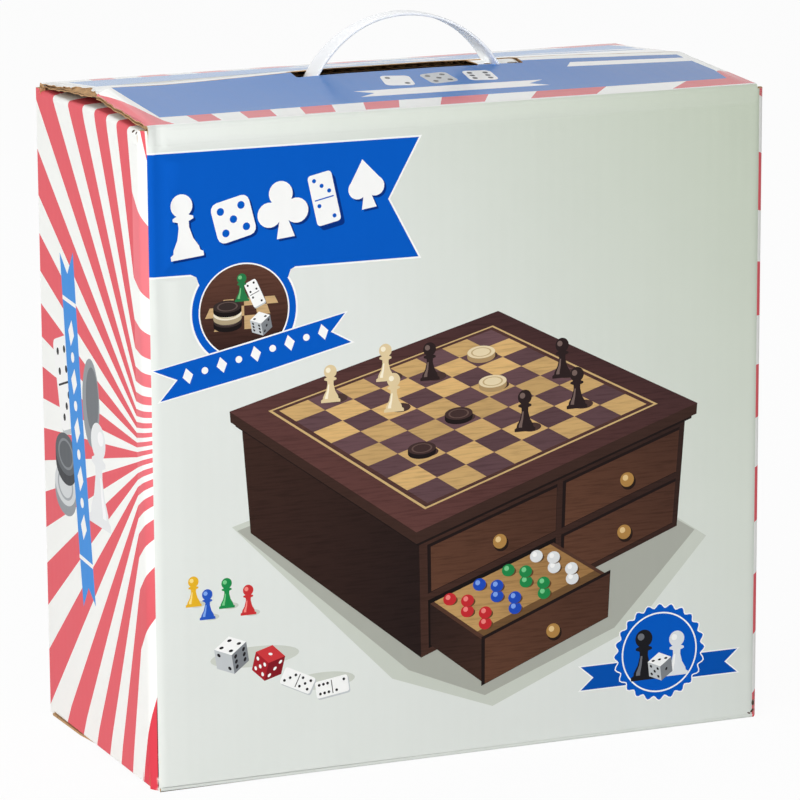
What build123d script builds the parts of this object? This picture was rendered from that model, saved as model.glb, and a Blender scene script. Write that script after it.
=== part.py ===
from build123d import *
import os
from math import atan2, cos, sin, sqrt, tan

# A games compendium in its retail carton. The carton is one sheet of single-wall
# corrugated board, folded into a sleeve with four flaps at each end. A plastic carry
# handle comes up through a slot in the lid's seam. A wooden games cabinet lies inside on
# its back, with its chequered top towards the front of the carton and its drawer up.
#
# Millimetres. +X is the carton's width, -Y its front, +Z up. The origin is the middle of
# the face that the carton stands on.

# ---------------------------------------------------------------- cabinet
cabinet_side = 300.0  # its chequered top is square
cabinet_height = 140.0  # base to chequered top
side_thickness = 10.0
back_thickness = 8.0
floor_thickness = 5.0
top_thickness = 12.0  # frame round the chequered top
frame_round = 4.0  # rounding of that frame's outer edge
frame_width = 16.0
squares_a_side = 8
inlay_thickness = 2.0
inlay_joint = 0.1  # between one inlaid square and the next
string_width = 2.0  # light line let in round the chequer
core_thickness = 8.0  # board under the inlay
rail_height = 8.0  # rails between the drawer and the sliding boards
rail_depth = 18.0
runner_width = 10.0
slide_gap = 0.3  # above and below a sliding board
side_gap = 0.5  # beside the drawer and the sliding boards
seat_gap = 0.3  # between a sliding piece and the back that it stops on
sliding_board_thickness = 8.0
finger_notch_radius = 12.0  # in the edge of each sliding board

# ---------------------------------------------------------------- carton
board_thickness = 3.0  # of the corrugated board
beside_gap = 7.0  # between the cabinet and the carton's side walls
before_gap = 6.5  # between the cabinet and the carton's front and back walls
head_gap = 11.2  # between the cabinet and the inner flaps of the lid
corner_radius = 6.0  # outside radius of the upright folds
fold_radius = 2.4  # outside radius of the flaps' folds
flap_gap = 0.3  # between a moving flap and what it lies on or beside
flap_trim = 0.5  # how far each end of an outer flap stops short of the walls
seam_gap = 0.6  # between the edges of two outer flaps that meet
lid_rise = 7.0  # how far the handle holds the lid's seam above its folds
lid_seam_offset = 11.8  # the lid's seam lies ahead of the middle
dust_flap_length = 79.5  # inner flaps, from the outside of their wall
glue_tab_width = 35.0  # the strip that closes the sleeve
glue_tab_trim = 2.0  # the strip stops short of the inner flaps

# ---------------------------------------------------------------- carry handle
handle_span = 110.0  # outside width of the arch where it leaves the lid
handle_rise = 30.0  # top of the arch above the seam
strap_thickness = 1.8
strap_grip_width = 10.5  # at the top of the arch
strap_foot_width = 15.0  # at the lid
slot_side_gap = 1.0  # hand slot in the lid's seam, beside each edge of the strap
slot_end_gap = 1.8  # and beyond the widest part of each foot
slot_corner_radius = 1.0
wing_width = 26.0  # tabs that lie under the lid and take the load, along Y
wing_length = 20.0  # from the foot outwards
wing_gap = 0.5  # between a tab and the underside of the lid

# ---------------------------------------------------------------- drawer
drawer_height = 54.0
drawer_front_thickness = 12.0
drawer_wall_thickness = 8.0
drawer_wall_drop = 8.0  # top of the walls below the top of the front
drawer_floor_thickness = 3.0
drawer_gap = 0.5  # above and below the drawer
pull_length = 56.0  # slot through the drawer's front
pull_height = 16.0
divider_thickness = 3.0
divider_drop = 9.0  # top of the dividers below the top of the walls
lay_gap = 0.3  # round each playing piece in its bay

# ---------------------------------------------------------------- playing pieces
domino_width = 18.0
domino_thickness = 7.0
domino_columns = 7  # these fill the drawer from side to side
domino_layers = 4
draught_radius = 13.0
draught_thickness = 6.0
draughts_a_side = 15
pack_width = 58.0
pack_thickness = 17.0
pack_end_gap = 14.0  # left over at the end of the row of packs and dice
pack_count = 2
dice_size = 14.0
dice_round = 2.0
dice_count = 5
man_base_radius = 10.0
king_height = 52.0
queen_height = 47.0
bishop_height = 42.0
knight_height = 38.0
rook_height = 34.0
pawn_height = 30.0
men_columns = 8

# ---------------------------------------------------------------- worked out from those
# The carton is cut to the cabinet that it holds.
inner_width = cabinet_side + 2 * beside_gap
inner_depth = cabinet_height + 2 * before_gap
carton_width = inner_width + 2 * board_thickness
carton_depth = inner_depth + 2 * board_thickness
carton_height = 4 * board_thickness + flap_gap + cabinet_side + head_gap  # to the folds
lid_seam_y = -lid_seam_offset
front_run = carton_depth / 2 - lid_seam_offset
back_run = carton_depth / 2 + lid_seam_offset
front_lean = atan2(lid_rise, front_run)  # slope of each lid flap
back_lean = atan2(lid_rise, back_run)
seam_z = carton_height + lid_rise
outer_flap_width = carton_width - 2 * flap_trim
wall_foot = board_thickness
wall_top = carton_height - board_thickness
side_wall_foot = 2 * board_thickness
side_wall_top = carton_height - 2 * board_thickness - flap_gap
dust_flap_width = carton_depth - 2 * corner_radius
moving_dust_flap_width = dust_flap_width - 2 * flap_gap

# The handle's arch is part of a circle, and its tabs lie just under the sloping lid.
arch_radius = ((handle_span / 2) ** 2 + handle_rise**2) / (2 * handle_rise)
arch_centre_z = seam_z + handle_rise - arch_radius
lid_underside = seam_z - board_thickness / cos(front_lean)
wing_top = lid_underside - wing_width / 2 * tan(front_lean) - wing_gap
wing_bottom = wing_top - strap_thickness
foot_drop = wing_bottom - arch_centre_z
foot_inner_x = sqrt((arch_radius - strap_thickness) ** 2 - foot_drop**2)
foot_outer_x = sqrt(arch_radius**2 - foot_drop**2)
slot_length = 2 * (foot_outer_x + slot_end_gap)
slot_width = strap_foot_width + 2 * slot_side_gap


def keep(piece, name):
    """Names a finished piece and writes its file."""
    piece.part.label = name
    export_step(piece.part, f"parts/{name}.step")


os.makedirs("parts", exist_ok=True)


# ================================================================ carton: sleeve
def sleeve_panel(centre, size, foot, top):
    """The stretch of the round-cornered sleeve that lies in one upright rectangle."""
    with BuildPart() as panel:
        with BuildSketch(Plane.XY.offset(foot)):
            RectangleRounded(carton_width, carton_depth, corner_radius)
            RectangleRounded(
                inner_width, inner_depth, corner_radius - board_thickness, mode=Mode.SUBTRACT
            )
            with Locations(centre):
                Rectangle(*size, mode=Mode.INTERSECT)
        extrude(amount=top - foot)
    return panel


corner_middle = (carton_depth - corner_radius) / 2
side_middle = (carton_width - board_thickness) / 2
long_panel = (carton_width, corner_radius)
short_panel = (board_thickness, carton_depth - 2 * corner_radius)

keep(sleeve_panel((0, -corner_middle), long_panel, wall_foot, wall_top), "front_wall")
keep(sleeve_panel((0, corner_middle), long_panel, wall_foot, wall_top), "back_wall")
keep(
    sleeve_panel((-side_middle, 0), short_panel, side_wall_foot, side_wall_top),
    "left_wall",
)
keep(
    sleeve_panel((side_middle, 0), short_panel, side_wall_foot, side_wall_top),
    "right_wall",
)

# The strip glued inside the left wall, where the sleeve's two ends meet.
glue_tab_foot = side_wall_foot + glue_tab_trim
glue_tab_top = side_wall_top - glue_tab_trim
with BuildPart() as glue_tab:
    with BuildSketch(Plane.XY.offset(glue_tab_foot)):
        with Locations((-inner_width / 2, dust_flap_width / 2)):
            Rectangle(board_thickness, glue_tab_width, align=(Align.MIN, Align.MAX))
    extrude(amount=glue_tab_top - glue_tab_foot)
keep(glue_tab, "glue_tab")


# ================================================================ carton: flaps
def outer_flap(plane, length, fold_side, slot=False):
    """A long flap. Its plane's origin is the outside of its fold, and y runs along it."""
    with BuildPart() as flap:
        with BuildSketch(plane):
            Rectangle(outer_flap_width, length, align=(Align.CENTER, Align.MIN))
            if slot:
                with Locations((0, length + seam_gap / 2)):
                    RectangleRounded(
                        slot_length, slot_width, slot_corner_radius, mode=Mode.SUBTRACT
                    )
        extrude(amount=-board_thickness)
        fold = flap.edges().filter_by(Axis.X).sort_by(Axis.Y)[fold_side]
        fillet(fold, min(fold_radius, 0.8 * board_thickness))
    return flap


# The lid's two flaps slope up to the seam, and lie flat without touching if pushed down.
front_lid_plane = Plane(
    origin=(0, -carton_depth / 2, carton_height),
    x_dir=(1, 0, 0),
    z_dir=(0, -sin(front_lean), cos(front_lean)),
)
back_lid_plane = Plane(
    origin=(0, carton_depth / 2, carton_height),
    x_dir=(-1, 0, 0),
    z_dir=(0, sin(back_lean), cos(back_lean)),
)
front_lid_length = front_run - seam_gap / 2
back_lid_length = back_run - seam_gap / 2
keep(outer_flap(front_lid_plane, front_lid_length, 0, slot=True), "top_front_flap")
keep(outer_flap(back_lid_plane, back_lid_length, -1, slot=True), "top_back_flap")

front_base_plane = Plane(
    origin=(0, -carton_depth / 2, 0), x_dir=(-1, 0, 0), z_dir=(0, 0, -1)
)
back_base_plane = Plane(
    origin=(0, carton_depth / 2, 0), x_dir=(1, 0, 0), z_dir=(0, 0, -1)
)
base_flap_length = (carton_depth - seam_gap) / 2
keep(outer_flap(front_base_plane, base_flap_length, 0), "bottom_front_flap")
keep(outer_flap(back_base_plane, base_flap_length, -1), "bottom_back_flap")


def dust_flap(side, width, low, top_side):
    """A short flap folded in from the left (-1) or right (1) wall."""
    with BuildPart() as flap:
        with BuildSketch(Plane.XY.offset(low)):
            with Locations((side * (carton_width - dust_flap_length) / 2, 0)):
                Rectangle(dust_flap_length, width)
        extrude(amount=board_thickness)
        outer_edges = flap.edges().filter_by(Axis.Y).group_by(Axis.X)[-1 if side > 0 else 0]
        fold = outer_edges.sort_by(Axis.Z)[-1 if top_side else 0]
        fillet(fold, min(fold_radius, 0.8 * board_thickness))
    return flap


for side, side_name in ((-1, "left"), (1, "right")):
    keep(
        dust_flap(side, moving_dust_flap_width, side_wall_top, True),
        f"top_{side_name}_dust_flap",
    )
    keep(
        dust_flap(side, dust_flap_width, board_thickness, False),
        f"bottom_{side_name}_dust_flap",
    )


# ================================================================ carry handle
# A circular arch in the plane of the seam, waisted at the grip, with a flat tab at each
# foot that catches under the lid.
with BuildPart() as carry_handle:
    with BuildSketch(Plane.XZ.offset(-lid_seam_y)):
        with Locations((0, arch_centre_z)):
            Circle(arch_radius)
            Circle(arch_radius - strap_thickness, mode=Mode.SUBTRACT)
        with Locations((0, wing_bottom)):
            Rectangle(
                2 * arch_radius,
                2 * arch_radius,
                align=(Align.CENTER, Align.MIN),
                mode=Mode.INTERSECT,
            )
    extrude(amount=wing_width / 2, both=True)
    with BuildSketch(Plane.XY.offset(wing_bottom)):
        with BuildLine():
            for hand in (1, -1):
                ThreePointArc(
                    (-arch_radius, lid_seam_y + hand * strap_foot_width / 2),
                    (0, lid_seam_y + hand * strap_grip_width / 2),
                    (arch_radius, lid_seam_y + hand * strap_foot_width / 2),
                )
            for end in (1, -1):
                Line(
                    (end * arch_radius, lid_seam_y - strap_foot_width / 2),
                    (end * arch_radius, lid_seam_y + strap_foot_width / 2),
                )
        make_face()
    extrude(amount=2 * arch_radius, mode=Mode.INTERSECT)
    for end in (1, -1):
        with Locations((end * foot_inner_x, lid_seam_y, wing_bottom)):
            Box(
                wing_length,
                wing_width,
                strap_thickness,
                align=(Align.MIN if end > 0 else Align.MAX, Align.CENTER, Align.MIN),
            )
keep(carry_handle, "carry_handle")


# ================================================================ cabinet
# The cabinet has its own frame: x across the drawer's face, y from the face to the back, z
# from the base up to the chequered top. It is packed lying on its back.
packed = Plane(
    origin=(0, cabinet_height / 2, 2 * board_thickness + cabinet_side / 2),
    x_dir=(-1, 0, 0),
    z_dir=(0, -1, 0),
)


def between(low, high):
    """A straight block of the cabinet, between two opposite corners in its own frame."""
    size = [b - a for a, b in zip(low, high)]
    with BuildPart(packed) as block:
        with Locations(low):
            Box(*size, align=(Align.MIN, Align.MIN, Align.MIN))
    return block


half_width = cabinet_side / 2
face_y = -cabinet_side / 2
back_y = cabinet_side / 2
inside_x = half_width - side_thickness
inside_back_y = back_y - back_thickness
carcass_top = cabinet_height - top_thickness

for side, side_name in ((-1, "left"), (1, "right")):
    inner_x, outer_x = side * inside_x, side * half_width
    keep(
        between(
            (min(inner_x, outer_x), face_y, 0), (max(inner_x, outer_x), back_y, carcass_top)
        ),
        f"cabinet_{side_name}_side",
    )
keep(
    between((-inside_x, inside_back_y, 0), (inside_x, back_y, carcass_top)), "cabinet_back"
)
keep(
    between((-inside_x, face_y, 0), (inside_x, inside_back_y, floor_thickness)),
    "cabinet_floor",
)

# ---- chequered top
opening = cabinet_side - 2 * frame_width
chequer = opening - 2 * string_width
square = chequer / squares_a_side
chequer_origin = -chequer / 2

with BuildPart() as top_frame:
    with BuildSketch(packed.offset(carcass_top)):
        Rectangle(cabinet_side, cabinet_side)
        Rectangle(opening, opening, mode=Mode.SUBTRACT)
    extrude(amount=top_thickness)
    rim = top_frame.faces().sort_by(Axis.Y)[0].outer_wire().edges()
    fillet(rim, min(frame_round, 0.8 * top_thickness))
keep(top_frame, "top_frame")

core_top = carcass_top + core_thickness
inlay_top = core_top + inlay_thickness
keep(
    between((-opening / 2, -opening / 2, carcass_top), (opening / 2, opening / 2, core_top)),
    "board_core",
)
with BuildPart() as stringing:
    with BuildSketch(packed.offset(core_top)):
        Rectangle(opening, opening)
        Rectangle(chequer, chequer, mode=Mode.SUBTRACT)
    extrude(amount=inlay_thickness)
keep(stringing, "board_stringing")

for tone, tone_name in ((1, "light_squares"), (0, "dark_squares")):
    places = [
        (chequer_origin + (i + 0.5) * square, chequer_origin + (j + 0.5) * square)
        for i in range(squares_a_side)
        for j in range(squares_a_side)
        if (i + j) % 2 == tone
    ]
    with BuildPart() as squares:
        with BuildSketch(packed.offset(core_top)):
            with Locations(*places):
                Rectangle(square - inlay_joint, square - inlay_joint)
        extrude(amount=inlay_thickness)
    keep(squares, tone_name)

# ---- rails and runners, from the drawer up
drawer_foot = floor_thickness + drawer_gap
lower_rail_foot = drawer_foot + drawer_height + drawer_gap
lower_board_foot = lower_rail_foot + rail_height + slide_gap
upper_rail_foot = lower_board_foot + sliding_board_thickness + slide_gap
upper_board_foot = upper_rail_foot + rail_height + slide_gap
top_rail_foot = upper_board_foot + sliding_board_thickness + slide_gap


def rail(foot, top):
    """A bar across the face between the cabinet's sides."""
    return between((-inside_x, face_y, foot), (inside_x, face_y + rail_depth, top))


def runners(foot):
    """The pair of strips behind a rail that carry one sliding board."""
    length = inside_back_y - face_y - rail_depth
    with BuildPart(packed) as pair:
        for hand in (1, -1):
            with Locations((hand * inside_x, face_y + rail_depth, foot)):
                Box(
                    runner_width,
                    length,
                    rail_height,
                    align=(Align.MAX if hand > 0 else Align.MIN, Align.MIN, Align.MIN),
                )
    return pair


keep(rail(lower_rail_foot, lower_rail_foot + rail_height), "drawer_rail")
keep(rail(upper_rail_foot, upper_rail_foot + rail_height), "board_rail")
keep(rail(top_rail_foot, carcass_top), "top_rail")
keep(runners(lower_rail_foot), "lower_runners")
keep(runners(upper_rail_foot), "upper_runners")


# ---- sliding boards
def sliding_board(foot):
    """A playing board that slides in above its runners, with a notch for a finger."""
    slider_depth = inside_back_y - seat_gap - face_y
    with BuildPart() as slider:
        with BuildSketch(packed.offset(foot)):
            with Locations((0, face_y)):
                Rectangle(
                    2 * (inside_x - side_gap), slider_depth, align=(Align.CENTER, Align.MIN)
                )
                Circle(finger_notch_radius, mode=Mode.SUBTRACT)
        extrude(amount=sliding_board_thickness)
    return slider


keep(sliding_board(lower_board_foot), "lower_board")
keep(sliding_board(upper_board_foot), "upper_board")

# ================================================================ drawer
drawer_half = inside_x - side_gap
drawer_inside_x = drawer_half - drawer_wall_thickness
drawer_inside_front = face_y + drawer_front_thickness
drawer_back_y = inside_back_y - seat_gap
drawer_inside_back = drawer_back_y - drawer_wall_thickness
drawer_wall_top = drawer_foot + drawer_height - drawer_wall_drop
drawer_inside_floor = drawer_foot + drawer_floor_thickness
divider_height = drawer_wall_top - divider_drop - drawer_inside_floor
drawer_inside_width = 2 * drawer_inside_x

with BuildPart() as drawer_front:
    with BuildSketch(packed.offset(drawer_foot)):
        with Locations((0, face_y)):
            Rectangle(
                2 * drawer_half, drawer_front_thickness, align=(Align.CENTER, Align.MIN)
            )
    extrude(amount=drawer_height)
    pull_plane = Plane(
        origin=packed.from_local_coords((0, face_y, drawer_foot + drawer_height / 2)),
        x_dir=packed.x_dir,
        z_dir=-packed.y_dir,
    )
    with BuildSketch(pull_plane):
        SlotOverall(pull_length, pull_height)
    extrude(amount=-drawer_front_thickness, mode=Mode.SUBTRACT)
keep(drawer_front, "drawer_front")

for side, side_name in ((-1, "left"), (1, "right")):
    inner_x, outer_x = side * drawer_inside_x, side * drawer_half
    keep(
        between(
            (min(inner_x, outer_x), drawer_inside_front, drawer_foot),
            (max(inner_x, outer_x), drawer_inside_back, drawer_wall_top),
        ),
        f"drawer_{side_name}_side",
    )
keep(
    between(
        (-drawer_half, drawer_inside_back, drawer_foot),
        (drawer_half, drawer_back_y, drawer_wall_top),
    ),
    "drawer_back",
)
keep(
    between(
        (-drawer_inside_x, drawer_inside_front, drawer_foot),
        (drawer_inside_x, drawer_inside_back, drawer_inside_floor),
    ),
    "drawer_floor",
)

# ---- bays, from the back of the drawer to its front, each closed by a divider
bay_depths = {
    "dominoes": domino_width + 2 * lay_gap,
    "draughts": 2 * draught_radius + 2 * lay_gap,
    "cards": pack_width + 2 * lay_gap,
    "light_men": king_height + 2 * lay_gap,
    "dark_men": king_height + 2 * lay_gap,
}
bay_back = {}
divider_places = []
cursor = drawer_inside_back
for bay, depth in bay_depths.items():
    bay_back[bay] = cursor - lay_gap
    cursor -= depth
    divider_places.append(cursor)
    cursor -= divider_thickness

with BuildPart(packed) as drawer_dividers:
    for y in divider_places:
        with Locations((0, y, drawer_inside_floor)):
            Box(
                drawer_inside_width,
                divider_thickness,
                divider_height,
                align=(Align.CENTER, Align.MAX, Align.MIN),
            )
keep(drawer_dividers, "drawer_dividers")

# ================================================================ playing pieces
lay_floor = drawer_inside_floor + lay_gap


def row(count, pitch):
    """Centres of so many pieces side by side, about the middle."""
    return [(i - (count - 1) / 2) * pitch for i in range(count)]


domino_length = (drawer_inside_width - lay_gap) / domino_columns - lay_gap
with BuildPart(packed) as dominoes:
    for x in row(domino_columns, domino_length + lay_gap):
        for layer in range(domino_layers):
            z = lay_floor + layer * (domino_thickness + lay_gap)
            with Locations((x, bay_back["dominoes"], z)):
                Box(
                    domino_length,
                    domino_width,
                    domino_thickness,
                    align=(Align.CENTER, Align.MAX, Align.MIN),
                )
keep(dominoes, "dominoes")

draught_pitch = draught_thickness + lay_gap
draught_centre = (bay_back["draughts"] - draught_radius, lay_floor + draught_radius)
for hand, colour in ((1, "light"), (-1, "dark")):
    with BuildPart(packed) as draughts:
        for i in range(draughts_a_side):
            x = hand * (i + 0.5) * draught_pitch
            with Locations((x, *draught_centre)):
                Cylinder(draught_radius, draught_thickness, rotation=(0, 90, 0))
    keep(draughts, f"{colour}_draughts")

dice_row = dice_count * (dice_size + lay_gap)
packs_room = drawer_inside_width - dice_row - pack_end_gap - lay_gap
pack_length = packs_room / pack_count - lay_gap
packs_start = -drawer_inside_x + lay_gap
with BuildPart(packed) as card_packs:
    for i in range(pack_count):
        x = packs_start + i * (pack_length + lay_gap)
        with Locations((x, bay_back["cards"], lay_floor)):
            Box(
                pack_length,
                pack_width,
                pack_thickness,
                align=(Align.MIN, Align.MAX, Align.MIN),
            )
keep(card_packs, "card_packs")

dice_start = packs_start + pack_count * (pack_length + lay_gap)
with BuildPart(packed) as dice:
    for i in range(dice_count):
        x = dice_start + i * (dice_size + lay_gap)
        with Locations((x, bay_back["cards"], lay_floor)):
            Box(dice_size, dice_size, dice_size, align=(Align.MIN, Align.MAX, Align.MIN))
    fillet(dice.edges(), dice_round)
keep(dice, "dice")


def turned_man(height, head):
    """A turned chess piece on its base: foot, waist, collar and a head of its own size."""
    base = man_base_radius
    neck = 0.38 * base
    with BuildPart(mode=Mode.PRIVATE) as man:
        with BuildSketch(Plane.XZ):
            with BuildLine():
                Polyline(
                    (0, height),
                    (0, 0),
                    (base, 0),
                    (base, 0.12 * height),
                    (0.62 * base, 0.24 * height),
                    (neck, 0.56 * height),
                    (0.66 * base, 0.62 * height),
                    (neck, 0.68 * height),
                    (head, 0.82 * height),
                    (0.7 * head, height),
                    (0, height),
                )
            make_face()
        revolve(axis=Axis.Z)
    return man.part


officers = (
    (rook_height, 0.62),
    (knight_height, 0.5),
    (bishop_height, 0.46),
    (queen_height, 0.56),
    (king_height, 0.6),
    (bishop_height, 0.46),
    (knight_height, 0.5),
    (rook_height, 0.62),
)
men_pitch = 2 * man_base_radius + lay_gap
for colour in ("light", "dark"):
    with BuildPart(packed) as men:
        for x, (height, head_share) in zip(row(men_columns, men_pitch), officers):
            ranks = ((height, head_share), (pawn_height, 0.45))
            for rank, (tall, share) in enumerate(ranks):
                z = lay_floor + man_base_radius + rank * men_pitch
                place = Location((x, bay_back[f"{colour}_men"], z), (90, 0, 0))
                with Locations(place):
                    add(turned_man(tall, share * man_base_radius))
    keep(men, f"{colour}_chessmen")
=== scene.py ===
import bpy
import numpy as np
from mathutils import Matrix, Vector
from mathutils.geometry import delaunay_2d_cdt


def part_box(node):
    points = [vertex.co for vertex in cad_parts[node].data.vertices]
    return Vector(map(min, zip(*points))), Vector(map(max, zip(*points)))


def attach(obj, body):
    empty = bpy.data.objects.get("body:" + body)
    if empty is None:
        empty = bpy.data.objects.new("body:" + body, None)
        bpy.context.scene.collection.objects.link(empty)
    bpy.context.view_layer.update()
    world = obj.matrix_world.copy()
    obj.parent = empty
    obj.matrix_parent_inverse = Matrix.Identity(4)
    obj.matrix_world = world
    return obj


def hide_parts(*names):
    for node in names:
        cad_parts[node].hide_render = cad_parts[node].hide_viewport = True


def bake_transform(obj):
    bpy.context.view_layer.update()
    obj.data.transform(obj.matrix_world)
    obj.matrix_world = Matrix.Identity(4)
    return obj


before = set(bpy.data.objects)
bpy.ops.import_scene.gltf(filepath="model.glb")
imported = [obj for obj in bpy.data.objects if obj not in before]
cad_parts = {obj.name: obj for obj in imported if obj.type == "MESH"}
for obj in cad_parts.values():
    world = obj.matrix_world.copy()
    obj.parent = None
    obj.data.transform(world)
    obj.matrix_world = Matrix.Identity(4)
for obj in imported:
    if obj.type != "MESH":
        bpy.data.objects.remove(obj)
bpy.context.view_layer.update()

bl_info = {
    "name": "Games compendium carton",
    "version": (1, 0, 0),
    "blender": (4, 5, 0),
    "location": "View3D > Sidebar > Games carton",
    "description": "Printed carton with a carry handle, round a packed wooden games cabinet",
    "category": "Add Mesh",
}

MM = 0.001


def cad_mm(node):
    """Lowest and highest corner of a CAD node, in millimetres."""
    low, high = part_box(node)
    return np.array(low) / MM, np.array(high) / MM


# outer faces of three walls, half the lid's length, and the boxes of an inner flap and the strap
FRONT_Y = cad_mm("front_wall")[0][1]
BACK_Y = cad_mm("back_wall")[1][1]
LEFT_X = cad_mm("left_wall")[0][0]
LID_HALF = cad_mm("top_front_flap")[1][0]
DUST_LOW, DUST_HIGH = cad_mm("top_left_dust_flap")
STRAP_LOW, STRAP_HIGH = cad_mm("carry_handle")

# sheet places shared by the operators: where each wall gives way to its folds
TOP_CUT, FRONT_FOOT, SIDE_FOOT, CORNER_TOP, CORNER_FOOT = 314.0, 2.2, 12.0, 321.2, 0.5
FIELD_LEFT, FIELD_RIGHT = -160.2, 158.4
SHEET_LOW, SHEET_HIGH = -30, 340  # print runs on past the sheet's edges to these heights
SIDE_HALF = 73.2  # half the depth of the side walls' flaps
TAB_END_Y = 38.5  # how far forward the glued tab reaches
LID_RIGHT = LID_HALF - 2.4
LID_BACK_LEFT = LID_HALF - 1.5
LID_TOP = 323.5
LID_RISE = 7.0  # from the lid's front fold up to its seam
BOW_X = -12.0  # where the handle pulls the lid up most
# size of the sheets' triangles
TONGUE_PITCH, LID_PITCH, WALL_PITCH, FLAP_PITCH = 3.0, 5.0, 8.0, 9.0
OVERLAP = 0.01  # of two sheets that meet at a cut
SLOT_HALF = 60.5  # half the length of the hand slot
FLUTE_PITCH = 0.0064  # from one wave of the board to the next, in metres
CARD_PITCH = 0.0009  # from one line to the next on the packs of cards, in metres


# ------------------------------------------------------------------ what a user may change
def length(name, description, default, **more):
    """A length in metres for a property group."""
    return bpy.props.FloatProperty(
        name=name, description=description, default=default, unit="LENGTH", precision=5, **more
    )


def colour(name, description, rgb):
    """A colour that is written as 0 to 255 and kept as linear light."""
    return bpy.props.FloatVectorProperty(
        name=name,
        description=description,
        default=tuple(linear(rgb)),
        size=3,
        min=0.0,
        max=1.0,
        subtype="COLOR",
    )


def linear(rgb):
    """Linear light for colours written as 0 to 255: ((c + 0.055) / 1.055) to the power 2.4."""
    c = np.asarray(rgb, float) / 255.0
    return np.where(c <= 0.04045, c / 12.92, ((c + 0.055) / 1.055) ** 2.4)


class CartonSizes(bpy.types.PropertyGroup):
    """Sizes of the corrugated board and of how it bends."""

    board: length("Board", "Thickness of the corrugated board", 0.003)
    liner: length("Liner", "Thickness of one paper liner", 0.00045)
    flute_pitch: length("Flute pitch", "From one wave of the board to the next", FLUTE_PITCH)
    fold_radius: length("Fold radius", "Outside radius of the flaps' folds", 0.0024)
    lid_bow: length("Lid bow", "How far the handle pulls the lid up at its slot", 0.00405)
    wall_bulge: length("Wall bulge", "How far the large walls belly out", 0.0014)
    corner_spread: length("Corner spread", "How far the front corners bulge sideways", 0.0025)


class HandleSizes(bpy.types.PropertyGroup):
    """Sizes of the moulded carry handle."""

    radius: length("Arch radius", "Outside radius of the arch", 0.0561)
    thickness: length("Thickness", "Thickness of the strap", 0.0018)
    grip: length("Grip width", "Width at the top of the arch", 0.0105)
    foot: length("Foot width", "Width where the strap enters the slot", 0.018)
    tab: length("Tab width", "Width of the tabs under the lid", 0.026)


class PrintColours(bpy.types.PropertyGroup):
    """Inks and board of the carton."""

    paper: colour("Paper", "Coated white paper", (250, 251, 247))
    red: colour("Red", "Rays", (231, 97, 106))
    # the ground fades from the left colour to the darker right one: partly the print's own, partly
    # painted shade of light falling off across the front
    field_left: colour("Field, left", "Pale ground of the front at its left", (228, 232, 227))
    field_right_shaded: colour("Field, right", "Pale ground of the front at its right", (198, 208, 188))
    blue: colour("Blue", "Banner and lid", (0, 90, 194))
    ribbon: colour("Ribbon", "Ribbon on the side walls", (66, 146, 224))
    kraft: colour("Kraft", "Inside of the board", (176, 139, 97))


class CabinetColours(bpy.types.PropertyGroup):
    """Woods of the cabinet, and what lies in its drawer."""

    stain: colour("Stain", "Stained sides, rails and frame", (74, 38, 30))
    veneer: colour("Veneer", "Drawer front", (96, 60, 44))
    core: colour("Core", "Plywood that isn't seen", (196, 160, 112))
    light: colour("Light inlay", "Light squares and stringing", (214, 176, 118))
    dark: colour("Dark inlay", "Dark squares", (92, 56, 52))
    ivory: colour("Ivory", "Dominoes, dice and light men", (236, 228, 206))
    black: colour("Black", "Dark men", (34, 27, 25))


# ------------------------------------------------------------------ shader expressions
class Value:
    """A shader socket that adds Math nodes when it is used in a sum."""

    def __init__(self, nodes, socket):
        self.nodes = nodes
        self.socket = socket

    def math(self, operation, *others):
        """A Math node on this value and the others."""
        inputs = dict(enumerate((self, *others)))
        return self.nodes.node("ShaderNodeMath", {"operation": operation}, inputs).out()

    def __add__(self, other):
        return self.math("ADD", other)

    def __mul__(self, other):
        return self.math("MULTIPLY", other)

    def __rsub__(self, other):
        made = self.nodes.node("ShaderNodeMath", {"operation": "SUBTRACT"}, {0: other, 1: self})
        return made.out()

    __radd__ = __add__
    __rmul__ = __mul__

    def sine(self):
        """Sine of the value in radians."""
        return self.math("SINE")

    def wave(self, pitch):
        """0 to 1 and back over each pitch: half of 1 + sin(2 pi x / pitch)."""
        return (self * (2 * np.pi / pitch)).sine() * 0.5 + 0.5

    def over(self, low, high):
        """0 below low, 1 above high, and smooth between."""
        made = self.nodes.node(
            "ShaderNodeMapRange",
            {"interpolation_type": "SMOOTHSTEP"},
            {"Value": self, "From Min": low, "From Max": high},
        )
        return made.out()


class Made:
    """A node, with its outputs as values."""

    def __init__(self, nodes, node):
        self.nodes = nodes
        self.node = node

    def out(self, name=0):
        """One output, by its number or name."""
        return Value(self.nodes, self.node.outputs[name])


class Nodes:
    """A node tree to which nodes are added through one method."""

    def __init__(self, tree):
        self.tree = tree

    def node(self, kind, settings=None, inputs=None):
        """Adds a node: its settings first, then what its sockets hold or are linked to."""
        made = self.tree.nodes.new(kind)
        for key, value in (settings or {}).items():
            setattr(made, key, value)
        for key, value in (inputs or {}).items():
            self.put(made.inputs[key], value)
        return Made(self, made)

    def put(self, socket, value):
        """Links a value to a socket, or sets a plain one."""
        if isinstance(value, Value):
            self.tree.links.new(value.socket, socket)
        elif socket.type == "RGBA" and len(value) == 3:
            socket.default_value = (*value, 1.0)
        else:
            socket.default_value = value

    def seen(self):
        """1 for rays from the camera, from gloss and through clear bodies, and 0 for the others."""
        path = self.node("ShaderNodeLightPath")
        direct = path.out("Is Camera Ray").math("MAXIMUM", path.out("Is Glossy Ray"))
        return direct.math("MAXIMUM", path.out("Is Transmission Ray"))


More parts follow.
